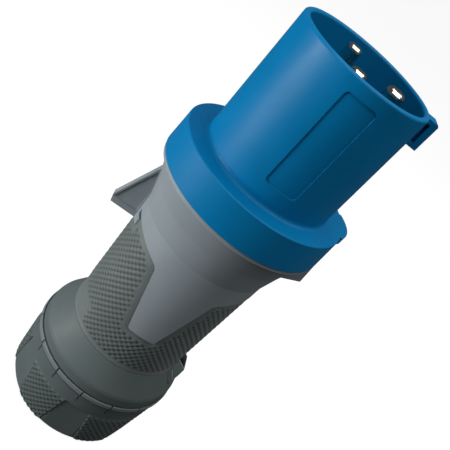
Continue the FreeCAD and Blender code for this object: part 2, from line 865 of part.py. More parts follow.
def rear_housing():
    """Light grey shell: lip, cones, grip panels, wing, fin, latch ribs and spigot."""
    core = new_body("housing_core")
    wall = size("housing_wall")
    lip = size("collar_radius")
    cone = lip - size("upper_cone_step")
    middle = size("middle_ring_radius")
    lower = size("lower_ring_radius")
    rubber = size("rubber_thickness")
    groove_bottom = lip - size("lip_groove_depth")
    under_rubber_top = lower_ring - size("grip_root_drop")
    inner_end = housing_end_radius - wall
    turned(core, [
        (spigot_radius - wall, spigot_top),
        (spigot_radius, spigot_top),
        (spigot_radius, collar_rear),
        (lip, collar_rear),
        (lip, lip_low),
        (groove_bottom, lip_low),
        (cone, cone_top),
        (middle, middle_ring),
        (lower, lower_ring),
        (grip_radius(under_rubber_top) - rubber, under_rubber_top),
        (housing_end_radius, grip_end),
        (housing_end_radius, seat_height),
        (inner_end, seat_height),
        (inner_end, grip_end),
        (lower - rubber - wall, lower_ring - size("inner_grip_drop")),
        (lower - wall, lower_ring + size("inner_cone_rise")),
        (middle - wall, middle_ring),
        (spigot_radius - wall, middle_ring + size("inner_spigot_rise")),
    ])

    # Bayonet lugs on the spigot
    lugs = new_sketch(core, "XY_Plane", offset=bayonet_low + size("fit_gap"))
    half = size("bayonet_width") / 2
    turn_angle = size("bayonet_turn")
    reach = socket_radius + size("bayonet_reach") - size("fit_gap") * 2
    root = spigot_radius - size("root_depth")

    def turned_point(across, up):
        return (across * cosine(turn_angle) - up * sine(turn_angle),
                across * sine(turn_angle) + up * cosine(turn_angle))
    outline(lugs, [
        turned_point(root, -half),
        turned_point(reach, -half),
        turned_point(reach, half),
        turned_point(root, half),
    ])
    lug = padded(core, lugs, size("bayonet_height"))
    around(core, lug, size("bayonet_count"))

    # Wing opposite the key: a thin web, with a rim along its edge and a rear flange
    tip_high = wing_low + size("wing_tip_length")
    root = size("lower_ring_radius") - rubber
    cone_share = (wing_high - middle_ring) / (cone_top - middle_ring)
    on_cone = between(middle, cone, cone_share)
    in_wall = wall / 2
    top_corners = [
        (on_cone, wing_high),
        (size("wing_reach"), tip_high),
        (size("wing_reach") - size("wing_tip_lean"), wing_low),
    ]
    wing = new_sketch(core, "XZ_Plane")
    outline(wing, [(-across, up) for across, up in top_corners] + [
        (-root, wing_low),
        (-root, lower_ring),
        (-(middle - in_wall), middle_ring),
        (-(on_cone - in_wall), wing_high),
    ])
    padded(core, wing, size("wing_half_thickness") * 2, both=True)
    rim_in = size("wing_reach") - size("wing_rim")
    foot = size("wing_foot")
    share = (rim_in - middle - foot) / (size("wing_reach") - on_cone)
    for side in (-1, 1):
        flank = new_sketch(core, "XZ_Plane", offset=size("wing_half_thickness") * -side)
        rear = wing_low + size("wing_rear")
        outline(flank, [
            (-(middle + foot), between(tip_high, wing_high, share)),
            (-rim_in, tip_high),
            (-rim_in, rear),
            (-(lower + foot), rear),
            (-(lower + foot), lower_ring),
        ])
        pocketed(core, flank, size("wing_recess"), back=(side > 0))

    # Short fin behind the collar on the key side, its rear edge sloping
    fin = new_sketch(core, "XZ_Plane")
    fin_low = lip_low - size("fin_length")
    fin_root = middle - in_wall
    outline(fin, [
        (lip, lip_low),
        (size("fin_reach"), fin_low),
        (fin_root, fin_low - size("fin_slope")),
        (fin_root, lip_low),
    ])
    padded(core, fin, size("fin_width"), both=True)

    # Latch ribs that stand through the gland collar on the key side
    root = inner_end - size("over_cut")
    half = size("rib_thickness") / 2
    under_rubber = grip_end - size("running_gap")
    for side, offset, out, knee, top in latch_ribs():
        rib = new_sketch(core, "XZ_Plane", offset=offset * side - half)
        at_top = depth_at(over_rubber, offset - half)
        outline(rib, [
            (root, rib_foot),
            (out, rib_foot),
            (out, knee),
            (at_top, top),
            (at_top, under_rubber),
            (root, under_rubber),
        ])
        padded(core, rib, size("rib_thickness"))

    # The ribs' roots must not fill the cable way
    way = new_sketch(core, "XY_Plane", offset=seat_height - size("over_cut"))
    circle(way, 0, 0, inner_end)
    pocketed(core, way, lower_ring - seat_height, back=True)

    # Raised light grey panels on the grip, bounded by the window outline
    panel_band = new_body("window_band")
    top = lower_ring + size("over_cut")
    low = window_bottom - size("over_cut") * 4
    turned(panel_band, [
        (grip_radius(low) - rubber - size("over_cut"), low),
        (grip_radius(low), low),
        (grip_radius(lower_ring), lower_ring),
        (lower, top),
        (lower - rubber - size("over_cut"), top),
    ])
    panels = boolean("Common", "window_panels", panel_band, grip_windows("panel_outline"))
    plain = boolean("Fuse", "housing_with_panels", core, panels)

    # Pad under the wing's foot, level with the panels
    pad_band = new_body("wing_pad_band")
    turned(pad_band, [
        (grip_radius(pad_low) - rubber - size("over_cut"), pad_low),
        (grip_radius(pad_low), pad_low),
        (grip_radius(lower_ring), lower_ring),
        (grip_radius(lower_ring) - rubber - size("over_cut"), lower_ring),
    ])
    pad = boolean("Common", "wing_pad", pad_band, wing_notch("pad_outline", as_size(0)))
    return boolean("Fuse", "rear_housing", plain, pad)


def latch_ribs():
    """Side, offset from the key plane, reach, knee and top height of each of the four ribs."""
    rise = size("rib_rise")
    run = size("ramp_half_width") - size("block_half_width")
    share = (size("rib_offset") - size("block_half_width")) / run
    outer = (
        between(size("block_radius"), size("ramp_reach"), share) + rise,
        between(block_knee, ramp_knee, share) + rise,
        grip_end + rise * 2,
    )
    inner = (size("block_radius") + rise, block_knee + rise, block_top + rise)
    ribs = []
    for side in (-1, 1):
        ribs.append((side, size("rib_offset"), *outer))
        ribs.append((side, size("inner_rib_offset"), *inner))
    return ribs


def wing_notch(label, gap):
    """Prism round the wing's foot that the rubber is cut away from."""
    prism = new_body(label)
    sketch = new_sketch(prism, "YZ_Plane")
    half = size("pad_half_width") + gap
    strip = size("strip_half_width") + gap
    above = lower_ring + size("over_cut") * 2
    outline(sketch, [
        (0, pad_low - gap),
        (half, pad_corner - gap),
        (half, pad_high + gap),
        (strip, pad_high + gap),
        (strip, above),
        (-strip, above),
        (-strip, pad_high + gap),
        (-half, pad_high + gap),
        (-half, pad_corner - gap),
    ])
    padded(prism, sketch, outside, back=True)
    return prism


def grip_cover():
    """Rubber sleeve over the grip, open at the panels and round the wing's foot."""
    body = new_body("rubber_tube")
    gap = size("skin_gap")
    top = lower_ring - size("over_cut")
    rise = size("window_rise")
    rubber = size("rubber_thickness")
    turned(body, [
        (housing_end_radius + gap, grip_end),
        (grip_radius(grip_end) - rise, grip_end),
        (grip_radius(top) - rise, top),
        (grip_radius(top) - rubber + gap, top),
    ])
    opened = boolean("Cut", "rubber_with_windows", body, grip_windows("cover_outline"))
    return boolean("Cut", "grip_cover", opened, wing_notch("cover_notch", gap))


def gland_collar():
    """Dark shoulder behind the grip, with the latch block and the threaded neck."""
    body = new_body("gland_collar")
    gap = size("fit_gap")
    shoulder = size("shoulder_radius")
    inside = housing_end_radius + gap
    seat = seat_height
    edge = size("shoulder_edge")
    slope_end = between(shoulder, size("grip_end_radius"), edge / size("shoulder_slope"))
    turned(body, [
        (inside, grip_end - gap),
        (size("grip_end_radius") + gap, grip_end - gap),
        (slope_end, shoulder_height + edge),
        (shoulder, shoulder_height - edge),
        (shoulder, collar_wall),
        (size("neck_radius"), collar_wall),
        (size("neck_radius"), neck_end),
        (size("neck_bore"), neck_end),
        (size("neck_bore"), seat - size("seat_thickness")),
        (housing_end_radius - size("housing_wall"), seat - size("seat_thickness")),
        (housing_end_radius - size("housing_wall"), seat),
        (inside, seat),
    ])

    # Raised latch block on the key side, with a ramp down to the shoulder on each flank
    low = collar_wall + size("shoulder_wall") / 2
    root = inside + size("root_depth")
    under = grip_end - size("running_gap")
    ramp_root = depth_at(root, size("ramp_half_width"))
    middle_profile = [
        (root, low),
        (size("block_radius"), low),
        (size("block_radius"), block_knee),
        (over_rubber, block_top),
        (over_rubber, under),
        (root, under),
    ]
    at_flank = depth_at(over_rubber, size("ramp_half_width"))
    ramp_profile = [
        (ramp_root, low),
        (size("ramp_reach"), low),
        (size("ramp_reach"), ramp_knee),
        (at_flank, grip_end),
        (at_flank, under),
        (ramp_root, under),
    ]
    block = new_sketch(body, "XZ_Plane")
    outline(block, middle_profile)
    padded(body, block, size("block_half_width") * 2, both=True)
    for side in (-1, 1):
        near = new_sketch(body, "XZ_Plane", offset=size("block_half_width") * side)
        outline(near, middle_profile)
        far = new_sketch(body, "XZ_Plane", offset=size("ramp_half_width") * side)
        outline(far, ramp_profile)
        ramp = body.newObject("PartDesign::AdditiveLoft", f"{body.Name}_ramp")
        ramp.Profile = near
        ramp.Sections = [far]
        ramp.Ruled = True
        doc.recompute()

    # Channel between the inner ribs in which the lock slide runs
    channel = new_sketch(body, "YZ_Plane", offset=channel_floor)
    above = block_top + size("over_cut")
    outline(channel, [
        (-channel_half, slide_foot),
        (channel_half, slide_foot),
        (channel_half, above),
        (-channel_half, above),
    ])
    pocketed(body, channel, outside, back=True)

    # Post in the channel that the spring rests against
    post = new_sketch(body, "XZ_Plane")
    post_in = (inside + channel_floor) / 2
    outline(post, [
        (post_in, post_low),
        (channel_floor + size("post_reach"), post_low),
        (channel_floor + size("post_reach"), post_top),
        (post_in, post_top),
    ])
    padded(body, post, size("post_width"), both=True)

    # Slots that the housing's ribs stand in
    rib_half = size("rib_thickness") / 2 + gap
    for side, offset, out, knee, top in latch_ribs():
        middle = offset * side
        slot = new_sketch(body, "YZ_Plane", offset=size("neck_bore") - size("over_cut") * 2)
        outline(slot, [
            (middle - rib_half, rib_foot - gap),
            (middle + rib_half, rib_foot - gap),
            (middle + rib_half, top + gap),
            (middle - rib_half, top + gap),
        ])
        pocketed(body, slot, outside, back=True)
    return body


def index_ring():
    """Thin light ring under the collar's wall, notched at even steps."""
    body = new_body("index_ring")
    top = collar_wall
    low = top - size("ring_thickness")
    turned(body, [
        (size("neck_radius") + size("skin_gap"), low),
        (size("neck_radius") + size("skin_gap"), top),
        (size("ring_radius"), top),
        (size("ring_radius"), low),
    ])
    tick = new_sketch(body, "XZ_Plane")
    outline(tick, [
        (size("ring_radius") - size("tick_depth"), low - size("over_cut")),
        (size("ring_radius") + size("over_cut"), low - size("over_cut")),
        (size("ring_radius") + size("over_cut"), top + size("over_cut")),
        (size("ring_radius") - size("tick_depth"), top + size("over_cut")),
    ])
    cut = pocketed(body, tick, size("tick_width"), both=True)
    around(body, cut, size("tick_count"))
    body.Placement.Rotation = FreeCAD.Rotation(FreeCAD.Vector(0, 0, 1), size("tick_start").value)
    body.setExpression("Placement.Rotation.Angle", size("tick_start").text)
    doc.recompute()
    return body


def gland_nut():
    """Tapered nut with six smooth facets, six fields for the knurl and index notches."""
    body = new_body("gland_nut")
    top = size("nut_height")
    high = size("nut_top_radius")
    end = size("nut_end_radius")
    entry = size("cable_entry_radius")
    nose = size("nut_round")
    edge = size("nut_top_edge")
    at_nose = between(end, high, nose / top)
    turned(body, [(entry, 0)] + rounding(at_nose - nose, nose, nose, -90, 0) + [
        (high, top - edge),
        (high - edge, top),
        (nut_thread, top),
        (nut_thread, size("nut_floor")),
        (entry, size("nut_floor")),
    ])

    # One smooth facet, leaning with the taper, then copied round
    facet = body.newObject("Sketcher::SketchObject", "facet_sketch")
    facet.AttachmentSupport = [(plane_of(body, "YZ_Plane"), "")]
    facet.MapMode = "FlatFace"
    lean = math.degrees(math.atan2((high - end).value, top.value))
    facet.AttachmentOffset = FreeCAD.Placement(
        FreeCAD.Vector(0, 0, 0), FreeCAD.Rotation(FreeCAD.Vector(1, 0, 0), lean))
    facet.setExpression("AttachmentOffset.Rotation.Angle",
                        f"atan(({high.text} - {end.text}) / {top.text})")
    bind(facet, "AttachmentOffset.Base.z", end - size("facet_depth"))
    facet_low = -size("over_cut") * 2
    outline(facet, [
        (-size("facet_bottom_width") / 2, facet_low),
        (size("facet_bottom_width") / 2, facet_low),
        (size("facet_top_width") / 2, size("facet_top")),
        (-size("facet_top_width") / 2, size("facet_top")),
    ])
    cut = pocketed(body, facet, high, back=True)
    around(body, cut, size("facet_count"))

    # Short notches in line with the index ring
    band = (size("notch_high") + size("notch_low")) / 2
    share = band / top
    at_notch = between(end, high, share)
    notch = new_sketch(body, "XZ_Plane")
    notch_turn = size("tick_start") - size("facet_turn")
    notch.AttachmentOffset = FreeCAD.Placement(
        FreeCAD.Vector(0, 0, 0), FreeCAD.Rotation(FreeCAD.Vector(0, 1, 0), notch_turn.value))
    notch.setExpression("AttachmentOffset.Rotation.Angle", notch_turn.text)
    outline(notch, [
        (at_notch - size("notch_depth"), size("notch_low")),
        (at_notch + size("over_cut") * 2, size("notch_low")),
        (at_notch + size("over_cut") * 2, size("notch_high")),
        (at_notch - size("notch_depth"), size("notch_high")),
    ])
    notch_cut = pocketed(body, notch, size("tick_width"), both=True)
    around(body, notch_cut, size("tick_count"))
    body.Placement.Rotation = FreeCAD.Rotation(FreeCAD.Vector(0, 0, 1), size("facet_turn").value)
    body.setExpression("Placement.Rotation.Angle", size("facet_turn").text)
    doc.recompute()
    return body


def clamp_claws():
    """Slotted claw ring of the strain relief, standing in the neck's mouth."""
    body = new_body("clamp_claws")
    gap = size("skin_gap")
    flange_low_side = neck_end - size("claw_flange")
    thick = size("claw_thickness")
    tip = size("claw_tip_radius")
    tip_low = size("claw_tip_height")
    outer = size("neck_bore") - gap
    turned(body, [
        (outer - thick, size("claw_sleeve_height")),
        (outer, size("claw_sleeve_height")),
        (outer, neck_end),
        (size("neck_radius") - gap, neck_end),
        (size("neck_radius") - gap, flange_low_side),
        (outer + size("claw_step"), flange_low_side),
        (tip, tip_low),
        (tip - thick, tip_low),
        (outer - thick, neck_end),
    ])
    slot = new_sketch(body, "XZ_Plane")
    outline(slot, [
        (tip - thick - size("over_cut"), tip_low - size("over_cut")),
        (size("neck_radius") + size("over_cut"), tip_low - size("over_cut")),
        (size("neck_radius") + size("over_cut"), flange_low_side - gap),
        (tip - thick - size("over_cut"), flange_low_side - gap),
    ])
    cut = pocketed(body, slot, size("claw_slot"), both=True)
    around(body, cut, size("claw_count"))
    return body


def cable_seal():
    """Rubber bush that the claws press on to the cable."""
    body = new_body("cable_seal")
    gap = size("skin_gap")
    outer = size("neck_bore") - size("claw_thickness") - gap * 2
    low_outer = size("claw_tip_radius") - size("claw_thickness") - gap * 2
    base = turned(body, [
        (size("cable_seal_radius"), size("cable_seal_low")),
        (low_outer, size("cable_seal_low")),
        (outer, neck_end),
        (outer, size("claw_sleeve_height")),
        (size("cable_seal_radius"), size("claw_sleeve_height")),
    ])
    spots = [(size("cable_seal_radius"), size("cable_seal_low")),
             (size("cable_seal_radius"), size("claw_sleeve_height"))]
    bevelled(body, edges_at(base, spots), size("cable_seal_edge"))
    return body


def press_ring():
    """Ring on the nut's floor whose inner cone closes the claws."""
    body = new_body("press_ring")
    low = size("nut_floor")
    high = low + size("press_ring_height")
    gap = size("running_gap")
    outer = nut_thread - gap
    claw_high = size("neck_bore") - size("skin_gap") + size("claw_step")
    tip_low = size("claw_tip_height")
    flange = neck_end - size("claw_flange")
    share = (high - tip_low) / (flange - tip_low)
    at_top = between(size("claw_tip_radius"), claw_high, share) + gap
    at_low = size("claw_tip_radius") + gap
    turned(body, [
        (at_low - size("press_ring_wall"), low),
        (outer, low),
        (outer, high),
        (at_top, high),
        (at_low, tip_low),
        (at_low, tip_low - gap * 2),
        (at_low - size("press_ring_wall"), tip_low - gap * 2),
    ])
    return body


def housing_seal():
    """Rubber ring squeezed between the spigot's end and the carrier's flange."""
    ring = new_body("housing_seal")
    turned(ring, [
        (seal_inner, spigot_top),
        (seal_outer, spigot_top),
        (seal_outer, flange_low),
        (seal_inner, flange_low),
    ])
    return ring


def lock_slide():
    """Slide in the channel of the latch block, pressed up by a screwdriver."""
    body = new_body("lock_slide")
    floor = channel_floor + size("skin_gap")
    reach = size("block_radius") + size("slide_reach")
    knee = (reach, block_knee)
    top = grip_end + size("slide_rise")
    sketch = new_sketch(body, "XZ_Plane")
    outline(sketch, [
        (floor, slide_foot),
        (reach, slide_foot),
        knee,
        (floor + size("slide_crown"), top),
        (floor, top),
    ])
    block = padded(body, sketch, (channel_half - size("fit_gap")) * 2, both=True)
    rounded(body, edges_across(block, [knee]), size("slide_round"))

    # Room for the spring and for the collar's post
    room = new_sketch(body, "YZ_Plane", offset=floor)
    half = size("post_width") / 2 + size("fit_gap")
    outline(room, [
        (-half, spring_low),
        (half, spring_low),
        (half, post_top + size("running_gap")),
        (-half, post_top + size("running_gap")),
    ])
    pocketed(body, room, size("post_reach") + size("fit_gap"), back=True)
    return body


def lock_spring():
    """Folded strip spring between the slide's foot and the collar's post."""
    body = new_body("lock_spring")
    gap = size("skin_gap")
    strip = size("spring_strip")
    pairs = round(size("spring_pair_count").value)
    inner = channel_floor + gap * 2
    outer = channel_floor + size("post_reach") - gap
    first = spring_low + gap
    step = (post_low - gap - strip - first) / size("spring_pair_count") / 2
    going_up = [(inner, first)]
    going_down = []
    for index in range(pairs):
        low = first + step * (2 * index)
        going_up += [
            (outer, low),
            (outer, low + step + strip),
            (inner + strip, low + step + strip),
            (inner + strip, low + step * 2),
        ]
        going_down = [
            (inner, low + step),
            (outer - strip, low + step),
            (outer - strip, low + strip),
            (inner, low + strip),
        ] + going_down
    last = first + step * (2 * pairs)
    sketch = new_sketch(body, "XZ_Plane")
    outline(sketch, going_up + [(outer, last), (outer, last + strip), (inner, last + strip)] + going_down)
    padded(body, sketch, size("spring_width"), both=True)
    return body


def build():
    """Every piece of the plug, in the order it is put together."""
    nodes = [front_sleeve(), pin_carrier()]
    for name, angle, reach, radius, recess, bore, barrel in pin_places():
        nodes.append(contact_pin(name, angle, reach, radius, recess, bore, barrel))
        nodes.append(clamp_screws(name, angle, reach, bore, barrel))
        if reach.text != "0.0":
            nodes.append(clamp_plate(name, angle, reach, barrel))
    nodes.append(carrier_screws())
    nodes.append(housing_seal())
    nodes.append(rear_housing())
    nodes.append(grip_cover())
    nodes.append(gland_collar())
    nodes.append(index_ring())
    nodes.append(clamp_claws())
    nodes.append(cable_seal())
    nodes.append(press_ring())
    nodes.append(gland_nut())
    nodes.append(lock_slide())
    nodes.append(lock_spring())
    return nodes


def check_and_write(nodes):
    """Stop at any failed object or bad shape, then write one file for each piece."""
    for item in doc.Objects:
        if "Invalid" in item.State or "Error" in item.State:
            raise RuntimeError(f"{item.Label} did not compute: {item.State}")
    for node in nodes:
        if node.Shape.isNull() or not node.Shape.isValid() or not node.Shape.Solids:
            raise RuntimeError(f"{node.Label} has no valid solid")
    os.makedirs("parts", exist_ok=True)
    for node in nodes:
        node.Shape.exportStep(f"parts/{node.Label}.step")
        box = node.Shape.BoundBox
        print(f"{node.Label}: {len(node.Shape.Solids)} solids, {node.Shape.Volume / 1000:.2f} cm3,"
              f" x {box.XMin:.1f} {box.XMax:.1f} y {box.YMin:.1f} {box.YMax:.1f}"
              f" z {box.ZMin:.1f} {box.ZMax:.1f}")


check_and_write(build())
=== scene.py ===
"""Looks of an industrial pin and sleeve plug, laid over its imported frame.

Everything is in metres in the plug's own frame: +Z runs from the cable end to the mouth of the
sleeve and +X points at the key. Angles go round +Z and start at the key.
"""

import math

import bpy
import numpy as np
from bpy.props import FloatProperty, FloatVectorProperty, IntProperty, PointerProperty
from mathutils import Matrix, Vector


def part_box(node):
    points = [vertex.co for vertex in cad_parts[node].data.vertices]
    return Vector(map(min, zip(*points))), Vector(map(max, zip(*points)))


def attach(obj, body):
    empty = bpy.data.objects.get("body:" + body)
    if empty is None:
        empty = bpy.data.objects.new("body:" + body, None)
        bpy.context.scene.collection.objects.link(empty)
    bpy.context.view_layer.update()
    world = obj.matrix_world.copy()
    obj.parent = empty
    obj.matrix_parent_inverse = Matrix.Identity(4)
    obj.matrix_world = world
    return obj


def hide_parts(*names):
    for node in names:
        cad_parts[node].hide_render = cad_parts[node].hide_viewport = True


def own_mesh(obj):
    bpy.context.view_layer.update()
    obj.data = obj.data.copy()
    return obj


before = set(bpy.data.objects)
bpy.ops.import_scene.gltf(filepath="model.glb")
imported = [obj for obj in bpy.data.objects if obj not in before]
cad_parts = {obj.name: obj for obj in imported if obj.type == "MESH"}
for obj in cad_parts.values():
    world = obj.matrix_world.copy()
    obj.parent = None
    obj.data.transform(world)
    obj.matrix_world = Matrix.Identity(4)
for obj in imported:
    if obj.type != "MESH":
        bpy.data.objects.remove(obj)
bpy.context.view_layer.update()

bl_info = {
    "name": "Pin and sleeve plug looks",
    "version": (1, 0, 0),
    "blender": (4, 5, 0),
    "location": "3D View > Sidebar > Plug",
    "description": "Builds the finishes, the dimpled grip and the studio of a pin and sleeve plug",
    "category": "Object",
}

MM = 0.001


def linear(red, green, blue):
    """A display colour of 0 to 255 as the linear colour of a shader, by the sRGB curve."""
    shares = np.array([red, green, blue]) / 255
    low = shares / 12.92
    high = ((shares + 0.055) / 1.055) ** 2.4
    return tuple(float(value) for value in np.where(shares <= 0.04045, low, high))


def colour(name, description, red, green, blue):
    """A colour setting, given as a display colour."""
    return FloatVectorProperty(name=name, description=description, subtype="COLOR",
                               default=linear(red, green, blue))


def length(name, description, default):
    """A length setting, in metres."""
    return FloatProperty(name=name, description=description, default=default, unit="LENGTH")


class PlugColours(bpy.types.PropertyGroup):
    """Base colours of the moulded and metal pieces."""

    blue: colour("Blue", "Front sleeve and collar", 0, 114, 168)
    light_grey: colour("Light grey", "Rear housing", 141, 151, 157)
    ring: colour("Ring", "Index ring between collar and nut", 112, 122, 125)
    dark_grey: colour("Dark grey", "Gland collar and nut", 88, 98, 98)
    rubber: colour("Rubber", "Dimpled grip cover", 98, 108, 107)
    black: colour("Black", "Pin carrier and lock slide", 34, 36, 38)
    seal: colour("Seal", "Bush and sealing ring", 28, 28, 28)
    natural: colour("Natural plastic", "Claws and press ring", 176, 180, 182)
    nickel: colour("Nickel", "Contact pins", 226, 222, 214)
    zinc: colour("Zinc", "Screws, plates and spring", 196, 198, 200)


class PlugGrip(bpy.types.PropertyGroup):
    """The dimpled rubber between the gland collar and the housing."""

    dimples_round: IntProperty(
        name="Dimples round", description="Dimple columns on a full turn",
        default=57, min=12)
    row_pitch: length("Row pitch", "Distance between dimples along the grip", 3.72 * MM)
    pit_depth: length("Pit depth", "How deep a dimple sinks under the land", 0.9 * MM)
    bump_height: length("Bump height", "How far the land between dimples stands proud", 0.25 * MM)
    margin: length("Margin", "Smooth band along the light grey windows", 3.4 * MM)
    end_margin: length("End margin", "Smooth band along the ends of the rubber", 2.2 * MM)
    end_flare: length("End flare", "How far the low edge of the rubber flares outwards", 0.6 * MM)
    cove_depth: length("Cove depth", "How far the smooth band falls towards a window", 0.6 * MM)
    thickness: length("Thickness", "Wall of the rubber cover", 1.3 * MM)
    cell: length("Cell", "Height of one row of cells in the mesh", 0.62 * MM)
    cells_round: IntProperty(
        name="Cells round a dimple", description="Columns of cells for each dimple column",
        default=6, min=4)
    window_low: length("Window low end", "Height of the window's narrow end", 86.5 * MM)
    window_low_half: length("Window low half width", "Half the width at the narrow end", 7.8 * MM)
    window_shoulder: length("Window shoulder", "Height where the window flares out", 124.5 * MM)
    window_shoulder_half: length(
        "Window shoulder half width", "Half the width at the shoulder", 17.0 * MM)
    window_flare: FloatProperty(
        name="Window flare", description="Rise of the rubber's top edge per unit outwards",
        default=0.32)
    pad_low: length("Pad low end", "Height of the point of the pad under the wing", 120.9 * MM)
    pad_corner: length("Pad corner", "Height where the pad reaches its full width", 123.8 * MM)
    pad_high: length(
        "Pad high end", "Height where the pad steps in to the wing's strip", 127.9 * MM)
    pad_half: length("Pad half width", "Half the width of the pad", 10.3 * MM)
    strip_half: length(
        "Strip half width", "Half the width of the strip along the wing's foot", 5.6 * MM)
    bare_half: FloatProperty(
        name="Bare patch half angle", description="Half the turn of the smooth patch by the end",
        default=math.radians(40), subtype="ANGLE")
    bare_top: length("Bare patch top", "Height where the smooth patch ends", 74.5 * MM)


class PlugRing(bpy.types.PropertyGroup):
    """The thin index ring with its marks."""

    radius: length("Radius", "Outer radius of the band", 42.65 * MM)
    band: length("Band", "How far the band stands proud of the grooves", 0.45 * MM)
    skirt: length("Skirt", "Wall of the skirt under the grooves", 0.2 * MM)
    bore: length("Bore", "Inner radius of the plate under the gland collar", 40.5 * MM)
    plate: length("Plate", "Thickness of the plate under the gland collar", 1.2 * MM)
    low: length("Low edge", "Height of the skirt's low edge", 38.1 * MM)
    groove: length("Groove", "Height of the groove above and below the band", 0.5 * MM)
    edge: length("Edge", "Slope along the band's edges", 0.3 * MM)
    marks: IntProperty(name="Marks", description="Marks on a full turn", default=15, min=3)
    first_mark: FloatProperty(
        name="First mark", description="Angle of the first mark from the key",
        default=math.radians(-95.3), subtype="ANGLE")
    mark_width: length("Mark width", "Width of a mark", 0.7 * MM)
    mark_depth: length("Mark depth", "Depth of a mark", 0.4 * MM)


class PlugSpring(bpy.types.PropertyGroup):
    """The folded strip spring behind the lock slide."""

    pairs: IntProperty(
        name="Fold pairs", description="Pairs of folds along the spring", default=2, min=1)
    strip: length("Strip", "Thickness of the strip", 0.3 * MM)
    fold: length("Fold radius", "Radius of the centre line at a fold", 0.3 * MM)
    travel: length("Travel", "How far the slide presses the spring", 3 * MM)


class PlugNut(bpy.types.PropertyGroup):
    """The six dimpled fields of the gland nut."""

    dimples_round: IntProperty(
        name="Dimples round", description="Dimple columns on a full turn",
        default=72, min=12)
    fields: IntProperty(
        name="Fields", description="Dimpled fields between the smooth facets",
        default=6, min=3)
    facet_angle: FloatProperty(
        name="Facet angle", description="Angle of the first facet's middle from the key",
        default=math.radians(30), subtype="ANGLE")
    facet_top_half: length("Facet top half width", "Half the width of a facet at its top", 7.3 * MM)
    facet_end_half: length(
        "Facet end half width", "Half the width of a facet at the end face", 11.3 * MM)
    field_top: length("Field top", "Height where the dimples begin", 28.3 * MM)
    end_round: length("End round", "Radius between the side and the end face", 4.5 * MM)
    end_radius: length("End radius", "Radius of the side carried on to the end face", 39.2 * MM)
    row_pitch: length("Row pitch", "Distance between dimples along the nut", 3.85 * MM)
    rise: length("Rise", "Height of a field's land over the nut", 0.62 * MM)


class PlugStage(bpy.types.PropertyGroup):
    """Camera, lamps and the even light all round."""

    camera_place: FloatVectorProperty(
        name="Camera place", description="Where the camera stands",
        default=(-0.0758, -0.2906, 0.3069), subtype="XYZ", unit="LENGTH")
    azimuth: FloatProperty(
        name="Azimuth", description="Heading of the view round the plug",
        default=math.radians(-15), subtype="ANGLE")
    elevation: FloatProperty(
        name="Elevation", description="Slope of the view",
        default=math.radians(28), subtype="ANGLE")
    roll: FloatProperty(
        name="Roll", description="Turn of the picture about the line of sight",
        default=math.radians(42.86), subtype="ANGLE")
    lens: FloatProperty(
        name="Lens", description="Focal length on a 36 mm sensor", default=54.76)
    key_place: FloatVectorProperty(
        name="Key place", description="Where the small lamp on the wing's side stands",
        default=(-0.70, -0.19, 0.05), subtype="XYZ", unit="LENGTH")
    key_width: length("Key width", "Side of the small square lamp", 0.34)
    key_power: FloatProperty(
        name="Key power", description="Power of the small lamp in watts", default=7.8)
    top_place: FloatVectorProperty(
        name="Top place", description="Where the wide lamp before the mouth stands",
        default=(0.12, -0.06, 1.0), subtype="XYZ", unit="LENGTH")
    top_width: length("Top width", "Side of the wide square lamp", 1.2)
    top_power: FloatProperty(
        name="Top power", description="Power of the wide lamp in watts", default=10.5)
    aim: FloatVectorProperty(
        name="Aim", description="The point that both lamps face", default=(0, 0, 0.13),
        subtype="XYZ", unit="LENGTH")
    fill: FloatProperty(
        name="Fill", description="Strength of the even light from all round", default=0.07)


class Finish:
    """One material's node tree, with short calls for the nodes that the finishes share."""

    def __init__(self, name):
        self.material = bpy.data.materials.new(name)
        self.material.use_nodes = True
        self.tree = self.material.node_tree
        self.shader = self.tree.nodes["Principled BSDF"]
        self.place = self.node("ShaderNodeTexCoord").outputs["Object"]

    def node(self, kind, **settings):
        """Add a node of this kind with these settings."""
        made = self.tree.nodes.new(kind)
        for name, value in settings.items():
            setattr(made, name, value)
        return made

    def join(self, source, target):
        """Link an output to an input."""
        self.tree.links.new(source, target)

    def noise(self, scale, detail, stretch=(1, 1, 1)):
        """Soft noise on the object's own coordinates, scale in waves per metre."""
        mapping = self.node("ShaderNodeMapping")
        mapping.inputs["Scale"].default_value = stretch
        self.join(self.place, mapping.inputs["Vector"])
        texture = self.node("ShaderNodeTexNoise")
        texture.inputs["Scale"].default_value = scale
        texture.inputs["Detail"].default_value = detail
        self.join(mapping.outputs["Vector"], texture.inputs["Vector"])
        return texture.outputs["Fac"]

    def spread(self, source, low, high, start=0.3, end=0.7):
        """Carry a 0 to 1 value over to another span."""
        ranged = self.node("ShaderNodeMapRange")
        ranged.inputs["From Min"].default_value = start
        ranged.inputs["From Max"].default_value = end
        ranged.inputs["To Min"].default_value = low
        ranged.inputs["To Max"].default_value = high
        self.join(source, ranged.inputs["Value"])
        return ranged.outputs["Result"]

    def blend(self, share, first, second):
        """Mix two colours, each a colour or an output, by a share from 0 to 1."""
        mixed = self.node("ShaderNodeMix", data_type="RGBA")
        self.join(share, mixed.inputs["Factor"])
        for socket, value in ((mixed.inputs["A"], first), (mixed.inputs["B"], second)):
            if isinstance(value, bpy.types.NodeSocket):
                self.join(value, socket)
            else:
                socket.default_value = (*value[:3], 1)
        return mixed.outputs["Result"]

    def relief(self, height, distance, strength, normal=None):
        """Fine relief from a height value."""
        bump = self.node("ShaderNodeBump")
        bump.inputs["Distance"].default_value = distance
        bump.inputs["Strength"].default_value = strength
        self.join(height, bump.inputs["Height"])
        if normal is not None:
            self.join(normal, bump.inputs["Normal"])
        return bump.outputs["Normal"]

    def soft_edges(self, radius):
        """Normals that round every sharp edge by this radius."""
        bevel = self.node("ShaderNodeBevel", samples=6)
        bevel.inputs["Radius"].default_value = radius
        return bevel.outputs["Normal"]


